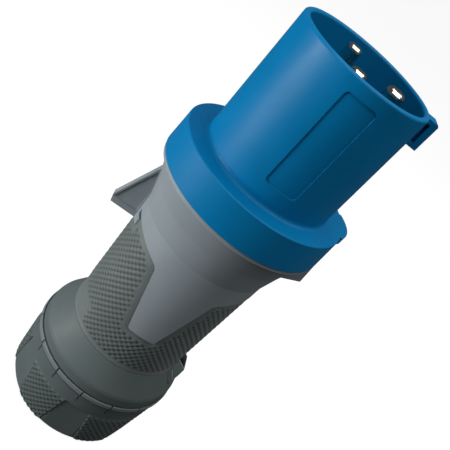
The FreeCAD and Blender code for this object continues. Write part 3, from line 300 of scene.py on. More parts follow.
def paint_shade_in_hollows(finish, tone, share):
    """A tone with painted shade: it darkens by this share towards the bottom of a dimple or groove,
    where shade falls.
    """
    # Near-black colour of the painted shade
    painted_shade = (0.004, 0.005, 0.005)
    depth = finish.node("ShaderNodeAttribute", attribute_name="shade_paint_mask")
    shade_amount = finish.spread(depth.outputs["Fac"], 0, share, start=0, end=1)
    return finish.blend(shade_amount, tone, painted_shade)


def scaled(colour, share):
    """The colour with every channel times this share: darker below 1 and lighter above."""
    return tuple(channel * share for channel in colour)


def moulded(name, colour, gloss, grain, grain_depth, edge, shine=0.4, painted_hollow_shade=0.0):
    """Moulded plastic: faint flow clouds and flecks, a spark-eroded grain and soft edges.

    Gloss is the middle of its roughness, grain is in waves per metre, edge is the radius that
    softens its corners, and the last setting is the share of painted shade at the bottom of a
    dimple or groove.
    """
    finish = Finish(name)
    clouds = finish.spread(finish.noise(scale=38, detail=4), 0, 1)
    tone = finish.blend(clouds, scaled(colour, 0.94), scaled(colour, 1.05))
    flecks = finish.spread(finish.noise(scale=1400, detail=2), 0, 1)
    tone = finish.blend(finish.spread(flecks, 0, 0.10, start=0, end=1), tone, scaled(colour, 0.72))
    # Painted shade: the colour darkens towards the bottom of each dimple or groove
    if painted_hollow_shade:
        tone = paint_shade_in_hollows(finish, tone, painted_hollow_shade)
    finish.join(tone, finish.shader.inputs["Base Color"])
    smears = finish.noise(scale=120, detail=5, stretch=(1, 1, 0.35))
    roughness = finish.spread(smears, gloss - 0.05, gloss + 0.06)
    finish.join(roughness, finish.shader.inputs["Roughness"])
    finish.shader.inputs["Specular IOR Level"].default_value = shine
    grained = finish.relief(finish.noise(scale=grain, detail=2), grain_depth, strength=0.6,
                            normal=finish.soft_edges(edge))
    finish.join(grained, finish.shader.inputs["Normal"])
    return finish.material


def rubbery(name, colour, gloss, grain_depth, painted_hollow_shade=0.0):
    """Rubber: matt, a little dusty in its clouds, with a close grain and a dull sheen."""
    dusty = tuple(channel * 0.9 + 0.03 for channel in colour)
    finish = Finish(name)
    clouds = finish.spread(finish.noise(scale=55, detail=5), 0, 1)
    tone = finish.blend(clouds, scaled(colour, 0.92), scaled(colour, 1.07))
    dust = finish.spread(finish.noise(scale=900, detail=4), 0, 0.14, start=0.5, end=0.75)
    tone = finish.blend(dust, tone, dusty)
    # Painted shade: the colour darkens towards the bottom of each dimple
    if painted_hollow_shade:
        tone = paint_shade_in_hollows(finish, tone, painted_hollow_shade)
    finish.join(tone, finish.shader.inputs["Base Color"])
    smears = finish.noise(scale=160, detail=4)
    roughness = finish.spread(smears, gloss - 0.06, gloss + 0.07)
    finish.join(roughness, finish.shader.inputs["Roughness"])
    finish.shader.inputs["Specular IOR Level"].default_value = 0.35
    finish.shader.inputs["Sheen Weight"].default_value = 0.12
    finish.shader.inputs["Sheen Roughness"].default_value = 0.5
    grained = finish.relief(finish.noise(scale=2600, detail=2), grain_depth, strength=0.5)
    finish.join(grained, finish.shader.inputs["Normal"])
    return finish.material


def plated(name, colour, gloss, lines):
    """Plated metal: turning lines round the pin and a trace of handling haze.

    Lines says how much closer the pattern lies along Z than round the pin.
    """
    finish = Finish(name)
    haze = finish.spread(finish.noise(scale=180, detail=5), 0, 1)
    tone = finish.blend(haze, scaled(colour, 0.93), colour)
    finish.join(tone, finish.shader.inputs["Base Color"])
    finish.shader.inputs["Metallic"].default_value = 1.0
    roughness = finish.spread(finish.noise(scale=260, detail=4), gloss - 0.04, gloss + 0.08)
    finish.join(roughness, finish.shader.inputs["Roughness"])
    turning = finish.noise(scale=60, detail=2, stretch=(1, 1, lines))
    lined = finish.relief(turning, 0.01 * MM, strength=0.35, normal=finish.soft_edges(0.15 * MM))
    finish.join(lined, finish.shader.inputs["Normal"])
    return finish.material


def dress(node, material):
    """Give a CAD node this material in its one slot."""
    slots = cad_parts[node].data.materials
    slots.clear()
    slots.append(material)


def surface(name, points, faces, shade_paint_mask, material, body):
    """A smooth mesh object from whole arrays, riding on a body of the frame.

    A point attribute tells a finish how much painted shade each point gets, from 0 to 1, from how
    deep it lies in a dimple or groove.
    """
    mesh = bpy.data.meshes.new(name)
    mesh.from_pydata(points.tolist(), [], faces.tolist())
    mesh.attributes.new("shade_paint_mask", "FLOAT", "POINT").data.foreach_set("value", shade_paint_mask)
    mesh.shade_smooth()
    mesh.materials.append(material)
    piece = bpy.data.objects.new(name, mesh)
    bpy.context.scene.collection.objects.link(piece)
    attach(piece, body)
    return piece


def give_wall(piece, thickness):
    """Thicken an open surface towards its inner side."""
    wall = piece.modifiers.new("wall", "SOLIDIFY")
    wall.thickness = thickness
    wall.offset = -1


def round_axis(radius, angle, height):
    """Points of a grid round Z: radius x cos(angle), radius x sin(angle) and height."""
    parts = np.broadcast_arrays(radius * np.cos(angle), radius * np.sin(angle), height)
    return np.stack(parts, axis=-1).reshape(-1, 3)


def grid_faces(rows, columns, closed):
    """Corner numbers of the quads of a grid of rows by columns, closed round its rows or open."""
    row = np.arange(rows - 1)[:, None]
    column = np.arange(columns if closed else columns - 1)[None, :]
    following = (column + 1) % columns
    corners = [row * columns + column, row * columns + following,
               (row + 1) * columns + following, (row + 1) * columns + column]
    return np.stack(np.broadcast_arrays(*corners), axis=-1).reshape(-1, 4)


def smooth_step(value, low, high):
    """0 below low and 1 above high, with a smooth slope between: 3 t squared less 2 t cubed."""
    share = np.clip((value - low) / (high - low), 0, 1)
    return share * share * (3 - 2 * share)


GROOVE_DEPTH = 0.2
PIT_DEPTH = 0.6


def everywhere(*_):
    """A dimple at every crossing."""
    return 1.0


def knurl(angle, height, columns, pitch, field, pit):
    """Depth of two families of slanting grooves: 0 on the land and 1 in a dimple's middle.

    A groove lies where columns x angle / 2 pi, plus or less height / pitch, is whole, and its
    section is the square of half of 1 + cos(2 pi x that sum). The depth is the sum of the two
    sections x GROOVE_DEPTH x field, plus their product x PIT_DEPTH x pit. Pit is a function of
    the angle and height of the nearest crossing, so that no dimple is cut in two.
    """
    across = columns * angle / (2 * np.pi)
    along = height / pitch
    phases = np.stack([across + along, across - along])
    grooves = (0.5 + 0.5 * np.cos(2 * np.pi * phases)) ** 2
    crossing = np.round(phases)
    at_angle = (crossing[0] + crossing[1]) * np.pi / columns
    at_height = (crossing[0] - crossing[1]) * pitch / 2
    pits = pit(at_angle, at_height) * PIT_DEPTH * grooves.prod(0)
    return field * GROOVE_DEPTH * grooves.sum(0) + pits


def along_valleys(quads, depth):
    """Split quads into triangles along the diagonal whose two ends lie deeper together."""
    depth = depth.reshape(-1)[quads]
    first = (depth[:, 0] + depth[:, 2] >= depth[:, 1] + depth[:, 3])[:, None, None]
    split = np.where(first, [[0, 1, 2], [0, 2, 3]], [[0, 1, 3], [1, 2, 3]])
    return np.take_along_axis(quads[:, None, :], split, axis=-1).reshape(-1, 3)


def without_slivers(points, triangles):
    """The triangles that still have an area once their corners are pulled on to an edge."""
    least = 1e-10
    first, second, third = np.moveaxis(points[triangles], 1, 0)
    twice_area = np.linalg.norm(np.cross(second - first, third - first), axis=1)
    return triangles[twice_area > least]


def rounded_path(corners, radii, steps=7):
    """An open path through the corners with each inner one rounded by an arc of its radius.

    The arc has this many points and touches both runs at radius x tan(turn / 2) from the corner.
    """
    corners = np.asarray(corners, float)
    points = [corners[:1]]
    for before, corner, after, radius in zip(corners, corners[1:], corners[2:], radii):
        inward = (before - corner) / np.linalg.norm(before - corner)
        outward = (after - corner) / np.linalg.norm(after - corner)
        half = math.acos(float(np.clip(inward @ outward, -1, 1))) / 2
        bisector = (inward + outward) / np.linalg.norm(inward + outward)
        centre = corner + bisector * radius / math.sin(half)
        first = corner + inward * radius / math.tan(half) - centre
        last = corner + outward * radius / math.tan(half) - centre
        sweep = math.pi - 2 * half
        share = np.linspace(0, 1, steps)[:, None]
        arc = np.sin((1 - share) * sweep) * first + np.sin(share * sweep) * last
        points.append(centre + arc / math.sin(sweep))
    points.append(corners[-1:])
    return np.concatenate(points)


def path_distance(path, across, up):
    """Distance from each point to an open path, positive below it and negative above."""
    point = np.stack([across, up], axis=-1)[..., None, :]
    start, run = path[:-1], np.diff(path, axis=0)
    share = np.clip(((point - start) * run).sum(-1) / (run * run).sum(-1), 0, 1)
    gap = point - (start + share[..., None] * run)
    distance = np.linalg.norm(gap, axis=-1)
    nearest = distance.argmin(-1)[..., None]
    side = run[:, 0] * gap[..., 1] - run[:, 1] * gap[..., 0]
    side = np.take_along_axis(side, nearest, -1)[..., 0]
    return np.where(side > 0, -1, 1) * np.take_along_axis(distance, nearest, -1)[..., 0]


class PLUG_OT_sleeve(bpy.types.Operator):
    """Finish the blue sleeve and collar"""

    bl_idname = "plug.sleeve"
    bl_label = "Front sleeve"

    def execute(self, context):
        blue = tuple(context.scene.plug_colours.blue)
        dress("front_sleeve", moulded(
            "blue_plastic", blue, gloss=0.42, grain=2200, grain_depth=0.012 * MM,
            edge=0.28 * MM, shine=0.13))
        return {"FINISHED"}


class PLUG_OT_contacts(bpy.types.Operator):
    """Finish the pins, their carrier, clamps and screws"""

    bl_idname = "plug.contacts"
    bl_label = "Contacts and carrier"

    def execute(self, context):
        colours = context.scene.plug_colours
        nickel = plated("nickel", tuple(colours.nickel), gloss=0.09, lines=14)
        zinc = plated("zinc", tuple(colours.zinc), gloss=0.3, lines=4)
        for node in ("earth_pin", "line_pin", "neutral_pin", "pilot_pin"):
            dress(node, nickel)
        for node in ("earth_clamp_screws", "line_clamp_screws", "neutral_clamp_screws",
                     "pilot_clamp_screw", "carrier_screws", "earth_clamp_plate",
                     "line_clamp_plate", "neutral_clamp_plate"):
            dress(node, zinc)
        dress("pin_carrier", moulded(
            "black_plastic", tuple(colours.black), gloss=0.42, grain=2400,
            grain_depth=0.012 * MM, edge=0.3 * MM))
        dress("housing_seal", rubbery(
            "seal_rubber", tuple(colours.seal), gloss=0.6, grain_depth=0.01 * MM))
        return {"FINISHED"}


class PLUG_OT_housing(bpy.types.Operator):
    """Finish the light grey housing"""

    bl_idname = "plug.housing"
    bl_label = "Rear housing"

    def execute(self, context):
        grey = tuple(context.scene.plug_colours.light_grey)
        dress("rear_housing", moulded(
            "light_grey_plastic", grey, gloss=0.44, grain=2300, grain_depth=0.014 * MM,
            edge=0.35 * MM))
        return {"FINISHED"}


class PLUG_OT_ring(bpy.types.Operator):
    """Build the index ring that shows between the gland collar and the nut"""

    bl_idname = "plug.ring"
    bl_label = "Index ring"

    # Half widths of a mark at its floor and at its top, as shares of its width
    FLOOR_HALF, TOP_HALF = 0.5, 0.6
    ARCS_BETWEEN = 8

    def execute(self, context):
        sizes = context.scene.plug_ring
        outline = np.array(self.section(sizes))
        radius, height, painted_shade = outline.T[:, :, None]
        angle, depth = self.marks(sizes)
        depth = depth * (1 - painted_shade)
        points = round_axis(radius - depth * sizes.mark_depth, angle, height)
        quads = grid_faces(len(outline) + 1, angle.shape[1], closed=True) % len(points)
        # Painted shade: the grooves and the marks are darkened through this mask
        shade_paint_mask = np.maximum(painted_shade, depth).reshape(-1)
        material = moulded(
            "ring_plastic", tuple(context.scene.plug_colours.ring), gloss=0.4, grain=2300,
            grain_depth=0.014 * MM, edge=0.2 * MM, painted_hollow_shade=0.85)
        ring = surface("index_ring_marked", points, quads, shade_paint_mask, material, "plug_body")
        ring.data.shade_flat()
        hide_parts("index_ring")
        return {"FINISHED"}

    def marks(self, sizes):
        """Angles round the ring and how deep a mark is there, 0 or 1, each as one row."""
        step = 2 * np.pi / sizes.marks
        across = np.array([-self.TOP_HALF, -self.FLOOR_HALF, self.FLOOR_HALF, self.TOP_HALF])
        between = np.linspace(0, step, self.ARCS_BETWEEN + 1)[1:-1]
        angle = np.concatenate([across * sizes.mark_width / sizes.radius, between])
        depth = np.concatenate([[0, 1, 1, 0], np.zeros(len(between))])
        turns = sizes.first_mark + step * np.arange(sizes.marks)[:, None]
        return (turns + angle).reshape(1, -1), np.tile(depth, sizes.marks)[None, :]

    @staticmethod
    def section(sizes):
        """The ring's section, round from its inner low corner: radius, height and painted shade.

        A skirt hangs outside the nut's top. The band in its middle stands proud of a groove above
        it and another one below it, and both grooves carry painted shade.
        """
        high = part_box("index_ring")[1].z
        under = high - sizes.plate
        low, groove, edge = sizes.low, sizes.groove, sizes.edge
        outer, inner, bore = sizes.radius, sizes.radius - sizes.band, sizes.bore
        return [(bore, under, 1), (inner - sizes.skirt, under, 1), (inner - sizes.skirt, low, 1),
                (inner, low, 1), (inner, low + groove, 1), (outer - edge, low + groove, 0),
                (outer, low + groove + edge, 0), (outer, high - groove - edge, 0),
                (outer - edge, high - groove, 0), (inner, high - groove, 1), (inner, high, 1),
                (bore, high, 1)]


class GripShape:
    """The rubber cover over angle and height: its cone, its cut-outs and its relief."""

    # More than any distance on the grip
    FAR_OFF = 1.0
    # Step that measures the slope of a distance, and the least slope squared that counts
    PROBE = 0.00002
    LEAST_SLOPE = 0.25
    # Rounds of pulling, and how near a vertex has to lie, as a share of a cell
    PULLS = 3
    PULL_REACH = 0.72
    # Width over which the land rises at the border of the knurled area
    FADE = 0.9 * MM

    def __init__(self, sizes):
        low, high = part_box("grip_cover")
        self.sizes = sizes
        self.low, self.high = low.z, high.z
        self.low_radius = self.cover_end_radius()
        self.high_radius = max(high.y, high.x)
        self.window = self.window_outline()
        self.notch = self.notch_outline()

    @staticmethod
    def cover_end_radius():
        """Outer radius of the CAD cover at its low end."""
        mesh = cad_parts["grip_cover"].data
        points = np.empty(len(mesh.vertices) * 3)
        mesh.vertices.foreach_get("co", points)
        points = points.reshape(-1, 3)
        end = points[points[:, 2] < points[:, 2].min() + 0.01 * MM]
        return float(np.hypot(end[:, 0], end[:, 1]).max())

    def window_outline(self):
        """The window's edge seen from the side, from one flare round the low end to the other."""
        sizes = self.sizes
        far, flare_round, low_round = 60 * MM, 4 * MM, 2 * MM
        reach = sizes.window_shoulder + (far - sizes.window_shoulder_half) * sizes.window_flare
        half = [(far, reach), (sizes.window_shoulder_half, sizes.window_shoulder),
                (sizes.window_low_half, sizes.window_low)]
        other = [(-across, up) for across, up in half]
        return rounded_path(other + half[::-1], [flare_round, low_round, low_round, flare_round])

    def notch_outline(self):
        """The edge of the cut round the wing's foot, seen from the wing's side."""
        sizes = self.sizes
        above = 150 * MM
        half = [(sizes.strip_half, above), (sizes.strip_half, sizes.pad_high),
                (sizes.pad_half, sizes.pad_high), (sizes.pad_half, sizes.pad_corner)]
        other = [(-across, up) for across, up in half]
        return np.array(other + [(0, sizes.pad_low)] + half[::-1])

    def cone(self, height):
        """Radius of the plain cover, on a straight line from its low end to its high end."""
        widening = self.high_radius - self.low_radius
        return self.low_radius + widening * (height - self.low) / (self.high - self.low)

    def edge_distance(self, angle, height):
        """Distance inside the rubber from the nearest window or wing notch."""
        radius = self.cone(height)
        x, y = radius * np.cos(angle), radius * np.sin(angle)
        window = path_distance(self.window, x, height)
        notch = path_distance(self.notch, y, height)
        return np.minimum(window, np.where(x < 0, notch, self.FAR_OFF))

    def pulled_to_edges(self, angle, height):
        """Move the vertices next to an edge on to it, against the slope of the distance."""
        for _ in range(self.PULLS):
            distance = self.edge_distance(angle, height)
            radius = self.cone(height)
            beside = self.edge_distance(angle + self.PROBE / radius, height)
            above = self.edge_distance(angle, height + self.PROBE)
            slope_round = (beside - distance) / self.PROBE
            slope_up = (above - distance) / self.PROBE
            steepness = np.maximum(slope_round ** 2 + slope_up ** 2, self.LEAST_SLOPE)
            near = np.abs(distance) < self.PULL_REACH * self.sizes.cell
            pull = np.where(near, distance / steepness, 0)
            angle = angle - pull * slope_round / radius
            height = np.where(near & (height > self.low), height - pull * slope_up, height)
        return angle, height

    def room(self, angle, height):
        """Distance inside the knurled area: off the margins and the bare patch."""
        sizes = self.sizes
        window = self.edge_distance(angle, height) - sizes.margin
        end = height - self.low - sizes.end_margin
        beside = (np.abs(angle - np.pi) - sizes.bare_half) * self.low_radius
        patch = np.maximum(beside, height - sizes.bare_top)
        return np.minimum(np.minimum(window, end), patch)

    def has_room(self, angle, height):
        """1 where a dimple's middle lies inside the knurled area, else 0."""
        return (self.room(angle, height) > 0).astype(float)

    def relief(self, angle, height, distance):
        """Height over the cone, and the depth of the dimples from 0 to 1.

        The land stands proud inside the knurled area, the dimples sink into it, the smooth band
        falls towards a window and the low edge flares out by the square of its share.
        """
        sizes = self.sizes
        field = smooth_step(self.room(angle, height), 0, self.FADE)
        dimples = knurl(angle, height, sizes.dimples_round, sizes.row_pitch, field, self.has_room)
        rise = sizes.bump_height * field - sizes.pit_depth * dimples
        rise -= sizes.cove_depth * (1 - smooth_step(distance, 0, sizes.margin))
        flare = np.clip(1 - (height - self.low) / sizes.end_margin, 0, 1)
        rise += sizes.end_flare * flare ** 2
        return rise, dimples


class PLUG_OT_grip(bpy.types.Operator):
    """Build the dimpled rubber cover of the grip"""

    bl_idname = "plug.grip"
    bl_label = "Grip cover"

    # How far a triangle may reach past an edge, as a share of a cell
    OVERHANG = 0.2

    def execute(self, context):
        sizes = context.scene.plug_grip
        shape = GripShape(sizes)
        top = shape.high + sizes.cell
        rows = round((top - shape.low) / sizes.cell) + 1
        columns = sizes.cells_round * sizes.dimples_round
        angle, height = np.meshgrid(np.linspace(0, 2 * np.pi, columns, endpoint=False),
                                    np.linspace(shape.low, top, rows))
        angle, height = shape.pulled_to_edges(angle, height)
        distance = shape.edge_distance(angle, height)
        rise, dimples = shape.relief(angle, height, distance)
        points = round_axis(shape.cone(height) + rise, angle, height)

        triangles = along_valleys(grid_faces(rows, columns, closed=True), dimples)
        inside = distance.reshape(-1)[triangles] > -self.OVERHANG * sizes.cell
        triangles = without_slivers(points, triangles[inside.all(axis=1)])
        used, triangles = np.unique(triangles, return_inverse=True)
        # Painted shade: the rubber darkens towards the bottom of each dimple through this mask
        shade_paint_mask = np.clip(dimples, 0, 1).reshape(-1)[used]
        rubber = tuple(context.scene.plug_colours.rubber)
        material = rubbery(
            "grip_rubber", rubber, gloss=0.56, grain_depth=0.012 * MM, painted_hollow_shade=0.92)
        cover = surface("grip_dimpled", points[used], triangles.reshape(-1, 3), shade_paint_mask, material,
                        "plug_body")
        give_wall(cover, sizes.thickness)
        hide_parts("grip_cover")
        return {"FINISHED"}


class NutSide:
    """The nut's side over the way down, from 0 at the field's top to 1 on the end's round."""

    # Shares of the way on the cone and on the round, and how far the round is followed
    CONE_SHARE, ROUND_SHARE = 0.8, 0.2
    SWEEP = math.radians(52)

    def __init__(self, sizes, down):
        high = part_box("gland_nut")[1]
        lean = math.atan2(high.y - sizes.end_radius, high.z)
        on_round = np.clip((down - self.CONE_SHARE) / self.ROUND_SHARE, 0, 1)
        self.bend = -lean - on_round * self.SWEEP
        self.radius, self.height = self.profile(sizes, down, lean)

    def profile(self, sizes, down, lean):
        """Radius and height: a straight line on the cone, then an arc about the round's middle."""
        middle = sizes.end_radius + sizes.end_round * (math.tan(lean) - 1 / math.cos(lean))
        cone_low = sizes.end_round * (1 - math.sin(lean))
        cone = sizes.field_top + (cone_low - sizes.field_top) * down / self.CONE_SHARE
        arc = sizes.end_round * (1 + np.sin(self.bend))
        height = np.where(down < self.CONE_SHARE, cone, arc)
        radius = np.where(down < self.CONE_SHARE, sizes.end_radius + height * math.tan(lean),
                          middle + sizes.end_round * np.cos(self.bend))
        return radius, height

    def raised(self, lift):
        """Radius and height after a move outwards, at right angles to the side."""
        return self.radius + lift * np.cos(self.bend), self.height + lift * np.sin(self.bend)


class PLUG_OT_nut(bpy.types.Operator):
    """Finish the gland nut and lay the dimpled fields between its facets"""

    bl_idname = "plug.nut"
    bl_label = "Gland nut"

    # Rows and columns of one field's grid, and how far its surface is thickened
    ROWS, COLUMNS = 76, 64
    WALL = 0.4 * MM
    # Depth of a dimple as a share of the land
    PIT = 0.92
    # Width over which the land falls at the facets, at the top and, as a share, at the end
    FACET_SLOPE, TOP_SLOPE, END_SLOPE = 0.45 * MM, 2.4 * MM, 0.09
    # How far the outermost points sink into the nut, and over what width
    SINK, SINK_WIDTH = 0.15 * MM, 0.2 * MM

    def execute(self, context):
        sizes = context.scene.plug_nut
        dark = tuple(context.scene.plug_colours.dark_grey)
        plain = moulded("dark_plastic", dark, gloss=0.56, grain=2600, grain_depth=0.016 * MM,
                        edge=0.2 * MM, shine=0.26)
        dress("gland_nut", plain)
        dress("gland_collar", plain)
        # This finish darkens the dimples with painted shade
        dimpled = moulded("dimpled_plastic", dark, gloss=0.5, grain=2600,
                          grain_depth=0.016 * MM, edge=0.2 * MM, shine=0.35, painted_hollow_shade=0.9)
        points, faces, shade_paint_mask = self.fields(sizes)
        piece = surface("nut_dimples", points, faces, shade_paint_mask, dimpled, "gland_nut")
        give_wall(piece, self.WALL)
        return {"FINISHED"}

    def fields(self, sizes):
        """Points, triangles and dimple depths of all the fields.

        A field lies between two facets. A facet's half width grows evenly from the field's top
        to the end face, and its rim is at the angle whose sine is that half width / radius.
        """
        down = np.linspace(0, 1, self.ROWS)[:, None]
        share = np.linspace(0, 1, self.COLUMNS)[None, :]
        side = NutSide(sizes, down)
        widening = sizes.facet_top_half - sizes.facet_end_half
        half = sizes.facet_end_half + widening * side.height / sizes.field_top
        rim = np.arcsin(half / side.radius)
        step = 2 * np.pi / sizes.fields
        quads = grid_faces(self.ROWS, self.COLUMNS, closed=False)[:, ::-1]
        points, faces, shade_paint_mask = [], [], []
        for field in range(sizes.fields):
            first = sizes.facet_angle + field * step + rim
            last = sizes.facet_angle + (field + 1) * step - rim
            angle = first + (last - first) * share
            inside = np.minimum(share, 1 - share) * (last - first) * side.radius
            land = self.land(sizes, inside, side.height, down)
            dimples = knurl(angle, side.height, sizes.dimples_round, sizes.row_pitch, 1.0,
                            everywhere)
            lift = land * (1 - self.PIT * dimples) - self.sunk_rim(inside)
            radius, height = side.raised(lift)
            points.append(round_axis(radius, angle, height))
            faces.append(along_valleys(quads, dimples) + field * self.ROWS * self.COLUMNS)
            # Painted shade mask: how deep a point lies in a dimple, over the land
            shade_paint_mask.append(np.clip(dimples * land / sizes.rise, 0, 1).reshape(-1))
        return np.concatenate(points), np.concatenate(faces), np.concatenate(shade_paint_mask)

    def land(self, sizes, inside, height, down):
        """Height of the land between the dimples: full inside, falling at the four borders."""
        facets = smooth_step(inside, 0, self.FACET_SLOPE)
        top = smooth_step(sizes.field_top - height, 0, self.TOP_SLOPE)
        return sizes.rise * facets * top * smooth_step(1 - down, 0, self.END_SLOPE)

    def sunk_rim(self, inside):
        """How far the outermost points sink into the nut, so that no gap shows."""
        return self.SINK * (1 - smooth_step(inside, 0, self.SINK_WIDTH))


class PLUG_OT_gland(bpy.types.Operator):
    """Finish the claws, the bush and the press ring inside the nut"""

    bl_idname = "plug.gland"
    bl_label = "Strain relief"

    def execute(self, context):
        colours = context.scene.plug_colours
        natural = moulded("natural_plastic", tuple(colours.natural), gloss=0.45, grain=2000,
                          grain_depth=0.01 * MM, edge=0.2 * MM)
        dress("clamp_claws", natural)
        dress("press_ring", natural)
        dress("cable_seal", rubbery(
            "bush_rubber", tuple(colours.seal), gloss=0.62, grain_depth=0.012 * MM))
        return {"FINISHED"}


class PLUG_OT_lock(bpy.types.Operator):
    """Finish the lock slide and its spring"""

    bl_idname = "plug.lock"
    bl_label = "Lock slide"

    def execute(self, context):
        colours = context.scene.plug_colours
        dress("lock_slide", moulded(
            "slide_plastic", tuple(colours.black), gloss=0.4, grain=2200,
            grain_depth=0.01 * MM, edge=0.2 * MM))
        steel = plated("spring_steel", tuple(colours.zinc), gloss=0.25, lines=2)
        self.spring(context.scene.plug_spring, steel)
        return {"FINISHED"}

    @staticmethod
    def spring(sizes, steel):
        """A folded strip behind the slide.

        The centre line is a meander with rounded corners. The strip's section, thin across the
        line and wide along Y, is carried along it.
        """
        low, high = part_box("lock_spring")
        half = sizes.strip / 2
        near, far = low.x + half, high.x - half
        level = np.linspace(low.z + half, high.z - half, 2 * sizes.pairs + 1)
        corners = [(low.x, level[0])]
        for index in range(2 * sizes.pairs):
            side = (far, near)[index % 2]
            corners += [(side, level[index]), (side, level[index + 1])]
        corners.append((high.x, level[-1]))
        line = rounded_path(corners, [sizes.fold] * (len(corners) - 2), steps=5)
        run = np.gradient(line, axis=0)
        across = np.stack([-run[:, 1], run[:, 0]], axis=-1) / np.linalg.norm(run, axis=1)[:, None]
        section = np.array([(half, low.y), (-half, low.y), (-half, high.y), (half, high.y)])
        place = line[:, None, :] + across[:, None, :] * section[None, :, :1]
        depth = np.broadcast_to(section[None, :, 1], place.shape[:2])
        points = np.stack([place[..., 0], depth, place[..., 1]], axis=-1).reshape(-1, 3)
        sides, end = len(section), len(points)
        faces = grid_faces(len(line), sides, closed=True).tolist()
        faces += [list(range(sides))[::-1], list(range(end - sides, end))]
        spring = surface("lock_spring_strip", points, np.array(faces), np.zeros(end), steel,
                         "plug_body")
        spring.data.set_sharp_from_angle(angle=math.radians(40))
        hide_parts("lock_spring")
        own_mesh(spring)


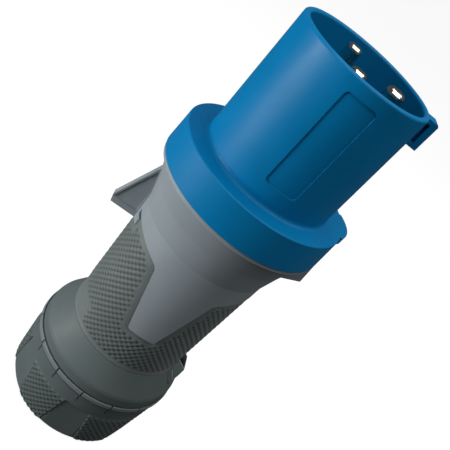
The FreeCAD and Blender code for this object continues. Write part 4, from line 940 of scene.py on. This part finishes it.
class PLUG_OT_stage(bpy.types.Operator):
    """Set up the camera, the lamps, the floor and the surroundings"""

    bl_idname = "plug.stage"
    bl_label = "Stage"

    def execute(self, context):
        sizes = context.scene.plug_stage
        context.scene.view_settings.view_transform = "Standard"
        self.camera(context, sizes)
        self.lamp("key_lamp", sizes.key_place, sizes.key_width, sizes.key_power, sizes.aim)
        self.lamp("top_lamp", sizes.top_place, sizes.top_width, sizes.top_power, sizes.aim)
        self.world(sizes)
        self.floor()
        return {"FINISHED"}

    @staticmethod
    def camera(context, sizes):
        """A camera that looks along azimuth and elevation, then rolls about its line of sight."""
        data = bpy.data.cameras.new("camera")
        data.lens = sizes.lens
        data.sensor_width = 36
        camera = bpy.data.objects.new("camera", data)
        context.scene.collection.objects.link(camera)
        level = Matrix.Rotation(sizes.azimuth, 4, "Z")
        tilt = Matrix.Rotation(math.pi / 2 - sizes.elevation, 4, "X")
        roll = Matrix.Rotation(sizes.roll, 4, "Z")
        camera.matrix_world = Matrix.Translation(Vector(sizes.camera_place)) @ level @ tilt @ roll
        context.scene.camera = camera

    @staticmethod
    def lamp(name, place, width, power, aim):
        """A square soft lamp that faces a point."""
        data = bpy.data.lights.new(name, "AREA")
        data.size = width
        data.energy = power
        lamp = bpy.data.objects.new(name, data)
        bpy.context.scene.collection.objects.link(lamp)
        place = Vector(place)
        turn = (Vector(aim) - place).to_track_quat("-Z", "Y").to_matrix().to_4x4()
        lamp.matrix_world = Matrix.Translation(place) @ turn

    @staticmethod
    def world(sizes):
        """Even light all round, and plain white where the camera sees past the floor."""
        world = bpy.data.worlds.new("studio")
        bpy.context.scene.world = world
        world.use_nodes = True
        tree = world.node_tree
        background = tree.nodes["Background"]
        background.inputs["Color"].default_value = (1, 1, 1, 1)
        path = tree.nodes.new("ShaderNodeLightPath")
        strength = tree.nodes.new("ShaderNodeMapRange")
        strength.inputs["To Min"].default_value = sizes.fill
        strength.inputs["To Max"].default_value = 1.0
        tree.links.new(path.outputs["Is Camera Ray"], strength.inputs["Value"])
        tree.links.new(strength.outputs["Result"], background.inputs["Strength"])

    def floor(self):
        """A wide pale disc: radius grows evenly from the middle, height stays at nought."""
        rings, spokes, inner, outer = 8, 96, 0.02, 30
        radius = np.linspace(inner, outer, rings)[:, None]
        angle = np.linspace(0, 2 * np.pi, spokes, endpoint=False)[None, :]
        points = round_axis(radius, angle, 0.0)
        faces = grid_faces(rings, spokes, closed=True)[:, ::-1].tolist()
        faces.append(list(range(spokes)))
        mesh = bpy.data.meshes.new("floor")
        mesh.from_pydata(points.tolist(), [], faces)
        mesh.materials.append(self.floor_white())
        floor = bpy.data.objects.new("floor", mesh)
        bpy.context.scene.collection.objects.link(floor)

    @staticmethod
    def floor_white():
        """White to the camera, with the plug's shadow on it, and dark to the plug's light."""
        dark, pale = (0.1, 0.1, 0.1), (0.86, 0.86, 0.86)
        glow_strength, glow_share = 1.16, 0.8
        finish = Finish("floor_white")
        to_camera = finish.node("ShaderNodeLightPath").outputs["Is Camera Ray"]
        finish.join(finish.blend(to_camera, dark, pale), finish.shader.inputs["Base Color"])
        finish.shader.inputs["Roughness"].default_value = 0.9
        finish.shader.inputs["Specular IOR Level"].default_value = 0.1
        glow = finish.node("ShaderNodeEmission")
        glow.inputs["Strength"].default_value = glow_strength
        share = finish.node("ShaderNodeMath", operation="MULTIPLY")
        share.inputs[1].default_value = glow_share
        finish.join(to_camera, share.inputs[0])
        mixed = finish.node("ShaderNodeMixShader")
        finish.join(share.outputs["Value"], mixed.inputs["Fac"])
        finish.join(finish.shader.outputs["BSDF"], mixed.inputs[1])
        finish.join(glow.outputs["Emission"], mixed.inputs[2])
        output = finish.tree.nodes["Material Output"]
        finish.join(mixed.outputs["Shader"], output.inputs["Surface"])
        return finish.material


OPERATORS = (PLUG_OT_sleeve, PLUG_OT_contacts, PLUG_OT_housing, PLUG_OT_ring, PLUG_OT_grip,
             PLUG_OT_nut, PLUG_OT_gland, PLUG_OT_lock, PLUG_OT_stage)
GROUPS = {"plug_colours": PlugColours, "plug_grip": PlugGrip, "plug_ring": PlugRing,
          "plug_spring": PlugSpring, "plug_nut": PlugNut, "plug_stage": PlugStage}


class PLUG_PT_panel(bpy.types.Panel):
    """Sidebar list of the plug's sizes, colours and build steps"""

    bl_idname = "PLUG_PT_panel"
    bl_label = "Plug"
    bl_space_type = "VIEW_3D"
    bl_region_type = "UI"
    bl_category = "Plug"

    def draw(self, context):
        for name in GROUPS:
            group = getattr(context.scene, name)
            box = self.layout.box()
            for setting in group.bl_rna.properties:
                if not setting.is_readonly and setting.identifier != "name":
                    box.prop(group, setting.identifier)
        for operator in OPERATORS:
            self.layout.operator(operator.bl_idname)


CLASSES = (*GROUPS.values(), *OPERATORS, PLUG_PT_panel)


def register():
    """Make the classes known and hang each property group on the scene."""
    for item in CLASSES:
        bpy.utils.register_class(item)
    for name, group in GROUPS.items():
        setattr(bpy.types.Scene, name, PointerProperty(type=group))


def unregister():
    """Undo what register did, in the other order."""
    for name in GROUPS:
        delattr(bpy.types.Scene, name)
    for item in reversed(CLASSES):
        bpy.utils.unregister_class(item)


def main():
    register()
    bpy.ops.plug.sleeve()
    bpy.ops.plug.contacts()
    bpy.ops.plug.housing()
    bpy.ops.plug.ring()
    bpy.ops.plug.grip()
    bpy.ops.plug.nut()
    bpy.ops.plug.gland()
    bpy.ops.plug.lock()
    bpy.ops.plug.stage()


if __name__ == "__main__":
    main()
